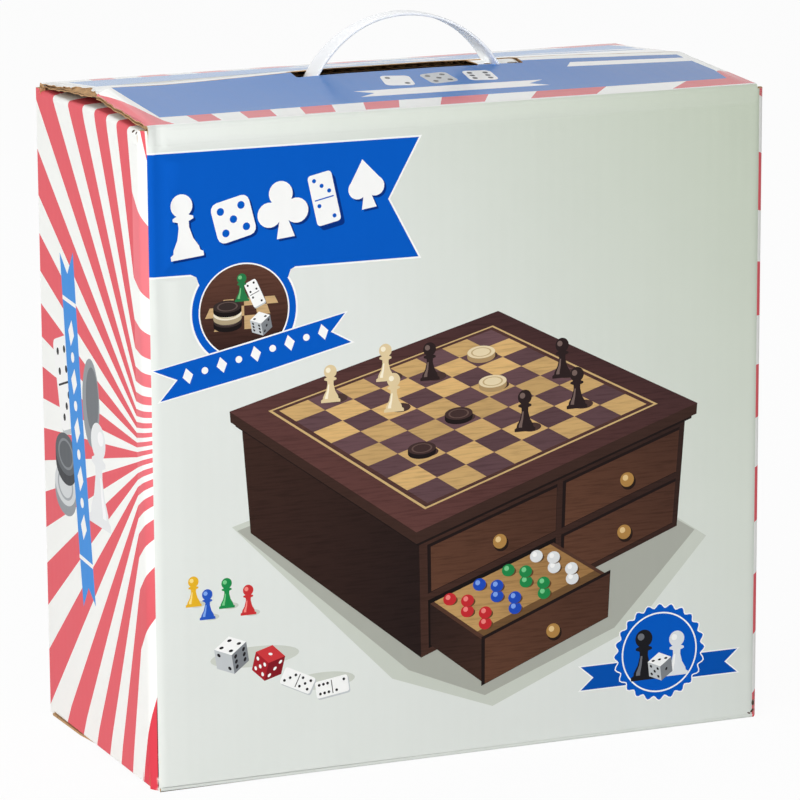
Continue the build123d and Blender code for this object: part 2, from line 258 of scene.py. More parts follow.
class Finish(Nodes):
    """A material, with the coordinates and patterns that its colours are made from."""

    def __init__(self, name):
        self.material = bpy.data.materials.new(name)
        self.material.use_nodes = True
        super().__init__(self.material.node_tree)
        self.shader = self.tree.nodes["Principled BSDF"]

    def set(self, **sockets):
        """Sets or links sockets of the Principled shader; underscores stand for spaces."""
        for key, value in sockets.items():
            self.put(self.shader.inputs[key.replace("_", " ")], value)
        return self

    def mix(self, factor, a, b, blend="MIX"):
        """Colour a turned into colour b by factor."""
        made = self.node(
            "ShaderNodeMix", {"data_type": "RGBA", "blend_type": blend}, {0: factor, 6: a, 7: b}
        )
        return made.out(2)

    def object_coordinates(self, scale=(1, 1, 1)):
        """Places on the object, in metres, times scale."""
        return self.mapped(self.node("ShaderNodeTexCoord").out("Object"), scale)

    def sheet_coordinates(self, scale=(1, 1, 1)):
        """Places on the flat sheet, in metres, times scale."""
        return self.mapped(self.node("ShaderNodeUVMap", {"uv_map": "sheet"}).out(), scale)

    def mapped(self, where, scale):
        """Places times scale."""
        return self.node("ShaderNodeMapping", None, {"Vector": where, "Scale": scale}).out()

    def axis(self, where, number):
        """One of the three coordinates of a place."""
        return self.node("ShaderNodeSeparateXYZ", None, {0: where}).out(number)

    def noise(self, where, scale, detail=3.0, rough=0.55, distortion=0.0):
        """Cloudy noise from 0 to 1."""
        inputs = {"Vector": where, "Scale": scale, "Detail": detail, "Roughness": rough}
        inputs["Distortion"] = distortion
        return self.node("ShaderNodeTexNoise", None, inputs).out(0)

    def bump(self, height, depth):
        """Height from 0 to 1, as a relief of the given depth in metres."""
        made = self.node("ShaderNodeBump", None, {"Height": height, "Distance": depth})
        self.put(self.shader.inputs["Normal"], made.out())
        return self


def shaded(rgb, by):
    """A linear colour times by, and at most 1."""
    return tuple(np.minimum(np.asarray(rgb) * by, 1))


def printed_finish(name, specular, coat, rough):
    """Coated paper with ink, over fluted board."""
    f = Finish(name)
    sheet = f.sheet_coordinates()
    ink = f.node("ShaderNodeAttribute", {"attribute_name": "ink"}).out("Color")
    grain = f.node("ShaderNodeAttribute", {"attribute_name": "grain"}).out("Fac")
    wear = f.node("ShaderNodeAttribute", {"attribute_name": "wear"}).out("Fac")
    streaks = f.noise(f.sheet_coordinates((60, 900, 1)), 1.0, 4.0, 0.6)
    cloud = f.noise(sheet, 14.0, 3.0)
    fibre = f.noise(sheet, 900.0, 2.0)
    shade = 1.0 - grain * (streaks.over(0.42, 0.72) * 0.30)
    shade = shade * (0.975 + cloud * 0.05)
    grey = f.node("ShaderNodeCombineColor", None, {0: shade, 1: shade, 2: shade}).out()
    inked = f.mix(1.0, ink, grey, "MULTIPLY")
    rubbed = (wear * f.noise(sheet, 260.0, 4.0, 0.7)).over(0.30, 0.52)
    bare = f.mix(fibre, tuple(linear((226, 222, 212))), tuple(linear((244, 243, 238))))
    f.set(Base_Color=f.mix(rubbed, inked, bare))
    f.set(Roughness=rough + cloud * 0.08 + rubbed * 0.3, Specular_IOR_Level=specular)
    f.set(Coat_Weight=coat, Coat_Roughness=0.12)
    waves = f.axis(sheet, 0).wave(FLUTE_PITCH)
    dents = f.noise(f.sheet_coordinates((1, 0.35, 1)), 34.0, 2.0)
    f.bump(waves * 0.035 + dents * 0.5 + fibre * 0.03, 0.0007)
    return f.material


def kraft_finish(name, rgb):
    """Brown kraft liner with fibres, and the flutes showing through."""
    f = Finish(name)
    sheet = f.sheet_coordinates()
    fibres = f.noise(f.sheet_coordinates((1, 3.5, 1)), 420.0, 5.0, 0.7)
    blotch = f.noise(sheet, 40.0, 3.0)
    waves = f.axis(sheet, 0).wave(FLUTE_PITCH)
    tone = fibres * 0.6 + blotch * 0.3 + waves * 0.1
    f.set(Base_Color=f.mix(tone.over(0.25, 0.75), shaded(rgb, 0.72), shaded(rgb, 1.22)))
    f.set(Roughness=0.82 + fibres * 0.12)
    f.bump(waves * 0.45 + fibres * 0.35, 0.0005)
    return f.material


def edge_finish(name, rgb):
    """Cut edge of the board: loose fibres, darker and lighter in cloudy patches."""
    f = Finish(name)
    where = f.object_coordinates()
    fibres = f.noise(where, 1500.0, 4.0, 0.7)
    dirt = f.noise(where, 160.0, 3.0)
    tone = fibres * 0.6 + dirt * 0.5
    f.set(Base_Color=f.mix(tone.over(0.25, 0.7), shaded(rgb, 0.6), shaded(rgb, 1.5)))
    f.set(Roughness=0.9)
    f.bump(fibres, 0.0004)
    return f.material


def plastic_finish(name, rgb, rough=0.32, clear=0.0, relief=0.00015):
    """Moulded polypropylene: faint flow marks and a fine matt grain; a clear one also glows
    faintly, which is painted light that lifts its shaded side.
    """
    f = Finish(name)
    flow = f.noise(f.object_coordinates((1, 1, 4)), 35.0, 3.0, 0.5, 1.2)
    grain = f.noise(f.object_coordinates(), 1400.0, 2.0)
    f.set(Base_Color=f.mix(flow, shaded(rgb, 0.95), shaded(rgb, 1.03)))
    f.set(Roughness=rough + flow * 0.10)
    f.set(Transmission_Weight=clear, Specular_IOR_Level=0.5 - 0.6 * clear)
    # painted light: clear plastic gets a faint glow that brightens its shaded side
    if clear:
        f.set(Emission_Color=(0.93, 0.94, 0.96, 1.0), Emission_Strength=0.1)
    f.bump(grain * 0.35 + flow * 0.4, relief)
    return f.material


def wood_finish(name, rgb, along=(1, 0, 0), contrast=0.45, rough=0.42, coat=0.3, fine=1.0):
    """Straight-grained wood: long streaks, pores and a darker figure along one axis."""
    f = Finish(name)
    stretch = 1.0 - np.asarray(along, float) * 0.94
    long = f.object_coordinates(tuple(stretch))
    figure = f.noise(long, 55.0 * fine, 4.0, 0.6, 0.6)
    pores = f.noise(long, 620.0 * fine, 3.0, 0.7)
    rings = (figure * 34.0).sine() * 0.5 + 0.5
    tone = figure * 0.55 + rings * 0.25 + pores * 0.25
    dark, pale = shaded(rgb, 1 - contrast), shaded(rgb, 1 + contrast * 0.6)
    body = f.mix(tone.over(0.2, 0.85), dark, pale)
    holes = pores.over(0.62, 0.8)
    f.set(Base_Color=f.mix(holes * 0.35, body, shaded(rgb, 0.35)))
    f.set(Roughness=rough + pores * 0.16, Coat_Weight=coat, Coat_Roughness=0.2)
    f.bump(0.6 - holes * 0.5 + rings * 0.2, 0.00025)
    return f.material


def card_finish(name, rgb):
    """Stacked paper cards: thin lines along the edge of the pack."""
    f = Finish(name)
    where = f.object_coordinates()
    lines = (f.axis(where, 2) * (2 * np.pi / CARD_PITCH)).sine()
    tooth = f.noise(where, 500.0, 3.0)
    f.set(Base_Color=f.mix(lines * 0.5 + 0.5, shaded(rgb, 0.82), shaded(rgb, 1.0)))
    f.set(Roughness=0.45 + tooth * 0.2)
    f.bump(lines * 0.3 + tooth * 0.3, 0.0002)
    return f.material


# ------------------------------------------------------------------ flat artwork
class Patch:
    """One inked area: its outline in the sheet's millimetres, its ink, and how woody it looks."""

    def __init__(self, outline, ink, grain=0.0, fade=None):
        self.outline = anticlockwise(np.asarray(outline, float))
        self.ink = np.asarray(ink, float)
        self.grain = grain
        self.fade = fade

    def tint(self, points):
        """Ink at points: one colour, or a straight fade between two as a share of the way."""
        if self.fade is None:
            return np.broadcast_to(linear(self.ink), (len(points), 3))
        other, start, end = self.fade
        way = np.asarray(end, float) - np.asarray(start, float)
        share = np.clip((points - np.asarray(start)) @ way / (way @ way), 0, 1)[:, None]
        return linear(self.ink) * (1 - share) + linear(other) * share


def anticlockwise(outline):
    """The same outline, walked with its inside on the left: the shoelace sum is positive."""
    x, y = outline[:, 0], outline[:, 1]
    area = (x * np.roll(y, -1) - y * np.roll(x, -1)).sum()
    return outline if area > 0 else outline[::-1]


def disc(x, y, radius, count=32, flat=1.0, turn=0.0):
    """Ellipse: centre plus radius times (cos, flat x sin), turned by an angle."""
    a = np.linspace(0, 2 * np.pi, count, endpoint=False)
    return turned(np.stack([radius * np.cos(a), radius * flat * np.sin(a)], 1), turn) + (x, y)


def turned(points, degrees):
    """Points turned about the origin."""
    c, s = np.cos(np.radians(degrees)), np.sin(np.radians(degrees))
    return np.asarray(points, float) @ np.array([[c, s], [-s, c]])


def at(points, x, y, degrees=0.0, size=1.0):
    """Points scaled, turned and moved."""
    return turned(np.asarray(points, float) * size, degrees) + (x, y)


def clipped(outline, low, high):
    """The part of an outline that lies between two upright lines, or None."""
    outline = np.asarray(outline, float)
    for x, side in ((low, 1.0), (high, -1.0)):
        kept = []
        for a, b in zip(outline, np.roll(outline, -1, 0)):
            if side * (a[0] - x) >= 0:
                kept.append(a)
            if (a[0] - x) * (b[0] - x) < 0:
                kept.append(a + (b - a) * (x - a[0]) / (b[0] - a[0]))
        if len(kept) < 3:
            return None
        outline = np.array(kept)
    return outline


def rounded_box(width, height, radius, steps=4):
    """Rectangle about the origin whose corners are quarter circles."""
    a = np.linspace(0, np.pi / 2, steps)
    quarter = np.stack([np.cos(a), np.sin(a)], 1) * radius
    w, h = width / 2 - radius, height / 2 - radius
    return np.concatenate(
        [
            quarter + (w, h),
            turned(quarter, 90) + (-w, h),
            turned(quarter, 180) + (-w, -h),
            turned(quarter, 270) + (w, -h),
        ]
    )


def oblong(left, right, low, high):
    """Four corners of a rectangle."""
    return [(left, low), (right, low), (right, high), (left, high)]


def moved_patch(patch, shift):
    """The same patch elsewhere on its sheet, or on another one."""
    fade = patch.fade
    if fade is not None:
        fade = (fade[0], np.asarray(fade[1]) + shift, np.asarray(fade[2]) + shift)
    return Patch(patch.outline + shift, patch.ink, patch.grain, fade)


def reaching(art, low, high):
    """The patches that come within 5 mm of the strip between two upright lines."""
    return [p for p in art if p.outline[:, 0].max() > low - 5 and p.outline[:, 0].min() < high + 5]


# the suns of the side walls: height of the hub, degrees from ray to ray, and angle of one ray
LEFT_SUN = (167.9, 10.63, 178.73)
RIGHT_SUN = (181.0, 9.3, 182.3)
RAY_HALF = 0.26  # half a ray's width, as a share of the step from ray to ray
RAY_START, RAY_REACH = 3, 420


def rays(hub, sun, ink, low, high):
    """Sunburst between two upright lines: wedges on angles phase + k periods, RAY_HALF each way."""
    y, period, phase = sun
    wedges = []
    for a in phase + period * np.arange(-10, 11):
        edge = np.radians([a - period * RAY_HALF, a + period * RAY_HALF])
        rim = np.stack([np.cos(edge), np.sin(edge)], 1)
        wedge = np.concatenate([rim * RAY_START, rim[::-1] * RAY_REACH]) + (hub, y)
        wedge = clipped(wedge, low, high)
        if wedge is not None:
            wedges.append(Patch(wedge, ink))
    return wedges


PIPS = {
    1: [(0, 0)],
    2: [(-1, 1), (1, -1)],
    3: [(-1, 1), (0, 0), (1, -1)],
    4: [(-1, 1), (1, 1), (-1, -1), (1, -1)],
    5: [(-1, 1), (1, 1), (0, 0), (-1, -1), (1, -1)],
    6: [(-1, 1), (1, 1), (-1, 0), (1, 0), (-1, -1), (1, -1)],
}
WHITE, SMOKE, GREY, COAL = (250, 250, 248), (196, 200, 202), (128, 132, 136), (38, 36, 38)


def die(x, y, size, degrees=0.0, faces=(5, 3, 1), inks=(WHITE, SMOKE, GREY), pip=COAL):
    """Cube seen from a corner: three rhombs, each with the pips of its face."""
    up, left, right = np.array([0, 1.0]), np.array([-0.87, 0.5]), np.array([0.87, 0.5])
    made = []
    corners = ((left, right, np.zeros(2)), (left, -up, np.zeros(2)), (right, -up, np.zeros(2)))
    for (a, b, o), ink, face in zip(corners, inks, faces):
        square = np.array([o, o + a, o + a + b, o + b])
        made.append(Patch(at(square, x, y, degrees, size), ink))
        for px, py in PIPS[face]:
            middle = o + a * (0.5 + 0.27 * px) + b * (0.5 + 0.27 * py)
            t = np.linspace(0, 2 * np.pi, 10, endpoint=False)[:, None]
            spot = middle + 0.10 * (a * np.cos(t) + b * np.sin(t))
            made.append(Patch(at(spot, x, y, degrees, size), pip))
    return made


def flat_die(x, y, size, degrees, face, ink, pip):
    """Face of a die seen from straight on."""
    made = [Patch(at(rounded_box(1, 1, 0.18), x, y, degrees, size), ink)]
    made += [
        Patch(at(disc(px * 0.27, py * 0.27, 0.095, 12), x, y, degrees, size), pip)
        for px, py in PIPS[face]
    ]
    return made


def domino(x, y, width, degrees, ends, ink=WHITE, pip=COAL, shade=SMOKE):
    """Tile twice as long as wide, with a bar across its middle and pips at both ends."""
    tile = rounded_box(1, 2, 0.14)
    made = [Patch(at(tile, x + width * 0.07, y - width * 0.09, degrees, width), shade)]
    made.append(Patch(at(tile, x, y, degrees, width), ink))
    made.append(Patch(at(rounded_box(0.8, 0.05, 0.02), x, y, degrees, width), pip))
    for end, face in zip((0.5, -0.5), ends):
        for px, py in PIPS[face]:
            spot = disc(px * 0.26, end + py * 0.26, 0.085, 10)
            made.append(Patch(at(spot, x, y, degrees, width), pip))
    return made


PAWN_RISE = np.array([0.0, 0.07, 0.10, 0.16, 0.30, 0.48, 0.57, 0.60, 0.64, 0.67, 0.70])
PAWN_HALF = np.array([0.27, 0.27, 0.22, 0.21, 0.13, 0.085, 0.09, 0.17, 0.17, 0.10, 0.06])


def pawn(x, y, tall, ink, light=None, degrees=0.0):
    """Turned man: half widths over its height, mirrored, under a round head."""
    side = np.stack([PAWN_HALF, PAWN_RISE], 1)
    body = np.concatenate([side, side[::-1] * (-1, 1)])
    made = [Patch(at(form, x, y, degrees, tall), ink) for form in (body, disc(0, 0.82, 0.18, 24))]
    if light is not None:
        glow = np.concatenate([side[2:6] * (-0.35, 1), side[5:1:-1] * (-0.75, 1)])
        made.append(Patch(at(glow, x, y, degrees, tall), light))
        made.append(Patch(at(disc(-0.06, 0.86, 0.07, 14), x, y, degrees, tall), light))
    return made


def draught(x, y, radius, ink, edge, rim, flat=0.42):
    """Disc lying down: an ellipse over the same ellipse one thickness lower, and a ring."""
    foot = y - radius * 0.30
    band = [(x - radius, y), (x - radius, foot), (x + radius, foot), (x + radius, y)]
    made = [Patch(disc(x, foot, radius, 32, flat), edge), Patch(band, edge)]
    made.append(Patch(disc(x, y, radius, 32, flat), ink))
    made.append(Patch(disc(x, y, radius * 0.74, 28, flat), rim))
    made.append(Patch(disc(x, y, radius * 0.62, 28, flat), ink))
    return made


def suit(kind, x, y, size, ink, degrees=0.0):
    """Plain suit marks: a diamond, a club of three discs, or a spade of two discs and a point."""
    if kind == "diamond":
        return [Patch(at([(0, -0.5), (0.34, 0), (0, 0.5), (-0.34, 0)], x, y, degrees, size), ink)]
    stalk = [(-0.16, -0.5), (0.16, -0.5), (0.05, -0.1), (0.13, 0.1), (-0.13, 0.1), (-0.05, -0.1)]
    made = [Patch(at(stalk, x, y, degrees, size), ink)]
    if kind == "club":
        lobes = [(0, 0.24), (-0.24, -0.08), (0.24, -0.08)]
        made += [Patch(at(disc(lx, ly, 0.21, 20), x, y, degrees, size), ink) for lx, ly in lobes]
        return made
    made += [Patch(at(disc(lx, -0.08, 0.20, 20), x, y, degrees, size), ink) for lx in (-0.19, 0.19)]
    made.append(Patch(at([(-0.37, 0.0), (0.37, 0.0), (0, 0.5)], x, y, degrees, size), ink))
    return made


def grown(outline, by):
    """Outline pushed outwards from its middle along each corner's bisector."""
    p = anticlockwise(np.asarray(outline, float))
    before, after = p - np.roll(p, 1, 0), np.roll(p, -1, 0) - p
    n1 = np.stack([before[:, 1], -before[:, 0]], 1) / np.linalg.norm(before, axis=1)[:, None]
    n2 = np.stack([after[:, 1], -after[:, 0]], 1) / np.linalg.norm(after, axis=1)[:, None]
    bisector = n1 + n2
    scale = by * 2 / np.maximum((bisector**2).sum(1), 0.6)
    return p + bisector * scale[:, None]


def view_axes(azimuth, elevation):
    """Directions towards the eye and to its right, from its two angles in radians."""
    level, up = np.cos(elevation), np.sin(elevation)
    back = np.array([np.sin(azimuth) * level, -np.cos(azimuth) * level, up])
    return back, np.array([np.cos(azimuth), np.sin(azimuth), 0.0])


# ------------------------------------------------------------------ the pictured games box
class Picture:
    """Draws a box of games on the front: three-dimensional corners, seen in perspective."""

    def __init__(self, azimuth, elevation, distance):
        self.back, self.right = view_axes(*np.radians([azimuth, elevation]))
        self.up = np.cross(self.back, self.right)
        self.distance = distance
        self.scale, self.offset = 1.0, np.zeros(2)

    def flat(self, points):
        """Picture place of points: their share to the right and up, over their depth."""
        p = np.asarray(points, float)
        depth = 1.0 - (p @ self.back) / self.distance
        place = np.stack([p @ self.right, p @ self.up], 1) / depth[:, None]
        return place * self.scale + self.offset

    def fit(self, points, low, high):
        """Scales and moves the picture so that points fill the area from low to high."""
        raw = self.flat(points)
        span = raw.max(0) - raw.min(0)
        self.scale = min((high[0] - low[0]) / span[0], (high[1] - low[1]) / span[1])
        raw = raw * self.scale
        self.offset = (np.asarray(low) + np.asarray(high)) / 2 - (raw.min(0) + raw.max(0)) / 2

    def face(self, corners, ink, grain=0.0, other=None):
        """A flat face; with a second ink it fades from its first corner to its third."""
        outline = self.flat(corners)
        fade = None if other is None else (other, outline[0], outline[2])
        return Patch(outline, ink, grain, fade)


def upright(x0, x1, y, z0, z1):
    """Corners of an upright face across the width."""
    return [(x0, y, z0), (x1, y, z0), (x1, y, z1), (x0, y, z1)]


def level(x0, x1, y0, y1, z):
    """Corners of a level face."""
    return [(x0, y0, z), (x1, y0, z), (x1, y1, z), (x0, y1, z)]


def sideways(x, y0, y1, z0, z1):
    """Corners of an upright face across the depth."""
    return [(x, y0, z0), (x, y1, z0), (x, y1, z1), (x, y0, z1)]


def games_box_picture():
    """A chest of games with a chequered lid and an open drawer, men on it, dice and tiles by it."""
    view = Picture(-35.0, 29.0, 1500.0)
    top, half, chequer, out = 118.0, 150.0, 118.0, 78.0
    span = level(-half, half, -half, half, top + 8) + level(-half, half, -half, half, 0)
    view.fit(span + upright(-136, -3, -143 - out, 6, 50), (-141, 33), (146, 225))
    wide = [(-176, -150), (-140, -240), (10, -240), (150, -176), (176, 150), (-150, 166)]
    tight = [(-160, -150), (-136, -224), (-3, -228), (150, -160), (160, 150), (-150, 156)]
    art = []
    for shadow, ink in ((wide, (204, 209, 198)), (tight, (172, 174, 164))):
        art.append(view.face([(x, y, 0) for x, y in shadow], ink))
    body = half - 7
    for face, ink, dark in (
        (sideways, (58, 38, 32), (38, 26, 24)),
        (upright, (70, 46, 38), (50, 34, 30)),
    ):
        art.append(view.face(face(-body, body, -body, 0, 104), ink, 1.0, dark))

    def drawer_front(x0, x1, y, z0, z1):
        """A drawer's front with a dark gap round it and a brass knob."""
        front = upright(x0 + 2, x1 - 2, y, z0 + 2, z1 - 1.5)
        made = [view.face(upright(x0, x1, y + 2, z0, z1), (30, 20, 19))]
        made.append(view.face(front, (98, 64, 48), 1.0, (74, 48, 38)))
        knob = view.flat([((x0 + x1) / 2, y - 6, (z0 + z1) / 2)])[0]
        for dx, dy, radius, ink in (
            (0.7, -1.2, 4.0, (36, 24, 20)),
            (0, 0, 3.7, (176, 132, 72)),
            (-0.9, 1, 1.5, (228, 196, 140)),
        ):
            made.append(Patch(disc(knob[0] + dx, knob[1] + dy, radius, 20), ink))
        return made

    for x0, x1, z0, z1 in ((3, 136, 6, 50), (3, 136, 56, 99), (-136, -3, 56, 99)):
        art += drawer_front(x0, x1, -146, z0, z1)
    art.append(view.face(upright(-136, -3, -144, 6, 50), (20, 14, 13)))
    low, high = -143 - out, -144
    art.append(view.face(sideways(-134, low, high, 8, 46), (66, 44, 36), 1.0, (44, 30, 27)))
    art.append(view.face(level(-134, -5, low, high, 46), (84, 56, 44), 0.8))
    art.append(view.face(level(-130, -9, low + 4, high, 46), (112, 82, 52), 0.6))
    tray = level(-130, -9, low + 16, high, 46)
    art.append(view.face(tray, (196, 156, 100), 1.0, (160, 120, 74)))
    pegs = (
        ((196, 44, 50), (240, 132, 126)),
        ((34, 76, 184), (128, 164, 236)),
        ((34, 134, 72), (120, 204, 142)),
        ((226, 228, 228), WHITE),
    )
    for row, (ink, pale) in enumerate(pegs):
        for k in range(5):
            spot = view.flat([(-118 + 30 * row + (k % 2) * 9, low + 22 + 12.5 * k, 45)])[0]
            art.append(Patch(disc(spot[0] + 0.8, spot[1] - 0.8, 3.5, 18, 0.7), (96, 66, 42)))
            art.append(Patch(disc(spot[0], spot[1], 3.5, 18, 0.9), ink))
            art.append(Patch(disc(spot[0] - 0.9, spot[1] + 1.0, 1.3, 12), pale))
    art += drawer_front(-136, -3, low, 6, 50)

    for z, ink in ((104, (28, 19, 18)), (108, (62, 42, 36))):
        h = half + (0 if z > 104 else -3)
        art.append(view.face(sideways(-h, h, -h, z, top), ink, 0.6))
        art.append(view.face(upright(-h, h, -h, z, top), ink, 0.6))
    art.append(view.face(level(-half, half, -half, half, top), (98, 62, 58), 1.0, (70, 46, 46)))
    for wider, ink, grain in ((7, (206, 174, 120), 0.0), (4.5, (84, 56, 52), 1.0)):
        edge = chequer + wider
        art.append(view.face(level(-edge, edge, -edge, edge, top), ink, grain))
    step = 2 * chequer / 8
    for i in range(8):
        for j in range(8):
            x, y = -chequer + i * step, -chequer + j * step
            tone = 0.94 + 0.06 * np.sin(3.1 * i + 1.7 * j) + 0.05 * (j / 7)
            ink = np.array((218, 178, 118) if (i + j) % 2 else (104, 76, 80)) * tone
            art.append(view.face(level(x, x + step, y, y + step, top), np.minimum(ink, 255), 0.8))
    men = [
        (1, 7, 0), (3, 7, 0), (6, 6, 0), (2, 5, 0), (5, 4, 0),
        (4, 6, 1), (7, 3, 1), (3, 3, 1), (6, 1, 1), (1, 2, 1), (4, 1, 1),
    ]
    # light and dark men
    draught_inks = (
        ((232, 214, 176), (176, 146, 102), (198, 172, 128)),
        ((66, 48, 46), (30, 22, 22), (100, 78, 72)),
    )
    pawn_inks = (((226, 204, 160), (250, 240, 214)), ((44, 32, 32), (120, 100, 94)))
    for i, j, dark in men:
        foot = ((i - 3.5) * step, (j - 3.5) * step, top)
        x, y = view.flat([foot])[0]
        tall = 20.0 * (0.92 + 0.02 * (7 - j))
        art.append(Patch(disc(x + 3.4, y + 0.4, 5.4, 20, 0.42), (74, 54, 50)))
        if (i + j) % 3 == 0:
            art += draught(x, y + 2.6, 7.4, *draught_inks[dark])
        else:
            art += pawn(x, y - 1.4, tall, *pawn_inks[dark])
    art.append(Patch(disc(-110, 62, 23, 30, 0.22), (206, 210, 200)))
    art += die(-122, 64, 9.6, 8, (4, 2, 6))
    reds = ((206, 58, 62), (168, 36, 44), (132, 26, 36))
    art += die(-103, 58, 9.0, -14, (1, 5, 3), reds, WHITE)
    art.append(Patch(disc(-75, 46, 17, 30, 0.25), (206, 210, 200)))
    art += domino(-88, 47.5, 8.6, 64, (3, 5))
    art += domino(-70, 42.5, 8.6, 98, (6, 2))
    for x, y, ink, light in (
        (-134, 84, (40, 88, 190), (130, 170, 236)),
        (-124, 88.5, (30, 140, 74), (120, 206, 140)),
        (-113, 84, (204, 52, 54), (244, 140, 132)),
        (-141, 91, (232, 180, 40), (252, 226, 140)),
    ):
        art.append(Patch(disc(x + 2, y, 4.0, 18, 0.4), (202, 206, 196)))
        art += pawn(x, y - 1, 15.0, ink, light)
    return art


WINDOW = (-112.8, 232.1)  # middle of the round picture under the banner


def banner_art(colours):
    """Blue banner with a notched end and a round window, both edged in white."""
    blue, deep = colours["blue"], (0, 48, 128)
    banner = [(-175, 251.6), (-22.6, 251.2), (-38, 280.3), (-21.6, 309.3), (-175, 310)]
    art = []
    for outline, radius, ink in ((grown(banner, 0.9), 27.5, WHITE), (banner, 26.5, blue)):
        art.append(Patch(clipped(outline, FIELD_LEFT, 0), ink))
        art.append(Patch(disc(*WINDOW, radius, 72), ink))
    for side in (-1, 1):
        hook = [(15, 20.5), (28, 20.0), (24.0, 18.0), (22.6, 14.2), (17, 14)]
        art.append(Patch(np.array(hook) * (side, 1) + WINDOW, blue))
    art.append(Patch(disc(*WINDOW, 23.1, 64), WHITE))

    def row(dx, dy, ink, hollow, edge):
        """The five marks, each as a list of patches; hollow is the ink of their pips."""
        return [
            pawn(-141 + dx, 259.5 + dy, 31, ink, None, 6),
            flat_die(-117.5 + dx, 276.5 + dy, 20, 14, 5, ink, hollow),
            suit("club", -92.5 + dx, 280 + dy, 29, ink, 6),
            domino(-71 + dx, 283 + dy, 12.5, 12, (3, 2), ink, hollow, edge),
            suit("spade", -49.5 + dx, 288.5 + dy, 24, ink, 8),
        ]

    for shadow, mark in zip(row(1.1, -1.1, deep, deep, deep), row(0.0, 0.0, WHITE, blue, deep)):
        art += shadow + mark
    return art


def window_art():
    """Round picture in the banner: a chequered floor, stacked draughts, a tile and a die."""
    (x, y), radius = WINDOW, 22.4
    fade = ((52, 32, 28), (x, y + 20), (x, y - 20))
    art = [Patch(disc(x, y, radius, 64), (96, 62, 50), 1.0, fade)]
    far, near = 6.0, -21.0
    rows = np.array([far, 2.4, -2.4, -9.0, near])
    for j in range(4):
        for i in range(-4, 4):
            if (i + j) % 2:
                continue
            wide = 5.2 + 4.6 * (far - rows[j : j + 2]) / (far - near)
            across = np.array([i, i + 1, i + 1, i]) * wide[[0, 0, 1, 1]]
            cell = np.stack([across, rows[[j, j, j + 1, j + 1]]], 1)
            if (np.hypot(*cell.T) < radius - 0.6).all():
                art.append(Patch(cell + (x, y), (206, 172, 124), 0.7))
    black = ((54, 44, 42), (24, 18, 18), (96, 80, 76))
    white = ((236, 226, 204), (176, 160, 128), (196, 180, 146))
    for rise, inks in ((-4.5, black), (-1.0, white), (2.6, black)):
        art += draught(x - 8.5, y + rise, 7.2, *inks)
    art += domino(x + 5.5, y + 8.0, 6.4, 24, (4, 2))
    art += die(x + 8.5, y - 7.0, 6.0, 10, (2, 6, 3))
    art += pawn(x - 1.0, y + 4.5, 13.5, (40, 120, 70), (120, 196, 132))
    return art


def ribbon_art(colours):
    """Small ribbon under the banner, rising to the right, with swallow tails and a row of marks."""
    left, right = np.array([-148.5, 201.0]), np.array([-66.0, 219.5])
    band = [
        (-159.2, 206.5), (-147.1, 201.5), (-155.9, 191.6), (-104, 201.6), (-58.2, 212.3),
        (-68.6, 218.1), (-61.1, 226.8), (-110, 216.2),
    ]
    art = [Patch(grown(band, 0.8), WHITE), Patch(band, colours["blue"])]
    slope = np.degrees(np.arctan2(*(right - left)[::-1]))
    for k in range(9):
        spot = left + (right - left) * (0.08 + 0.84 * k / 8) + (0, 0.4)
        if k % 2:
            art.append(Patch(disc(*spot, 1.7, 18), WHITE))
        else:
            art += suit("diamond", *spot, 8.0, WHITE, slope)
    return art


def seal_art(colours):
    """Round scalloped seal at the lower right, with a white and a dark man over a die."""
    x, y = 106.3, 40.0
    a = np.linspace(0, 2 * np.pi, 144, endpoint=False)
    lobes = 23.6 + 1.1 * np.cos(24 * a)
    edge = np.stack([x + lobes * np.cos(a), y + lobes * np.sin(a)], 1)
    tails = [(-43, -15), (-36, -9), (-43, -3), (43, -3), (36, -9), (43, -15)]
    tails = np.array(tails) + (x, y)
    art = [Patch(grown(tails, 0.7), WHITE), Patch(tails, colours["blue"] * 0.9)]
    art += [Patch(grown(edge, 0.6), WHITE), Patch(edge, colours["blue"])]
    art += [Patch(disc(x, y, 20.6, 64), WHITE), Patch(disc(x, y, 19.8, 64), colours["blue"])]
    art += pawn(x - 8.5, y - 13.5, 26, (26, 26, 30), (112, 114, 120))
    art += pawn(x + 9.5, y - 13.0, 23, (226, 230, 232), WHITE)
    art += die(x + 0.5, y - 7.5, 7.4, 6, (3, 5, 1))
    return art


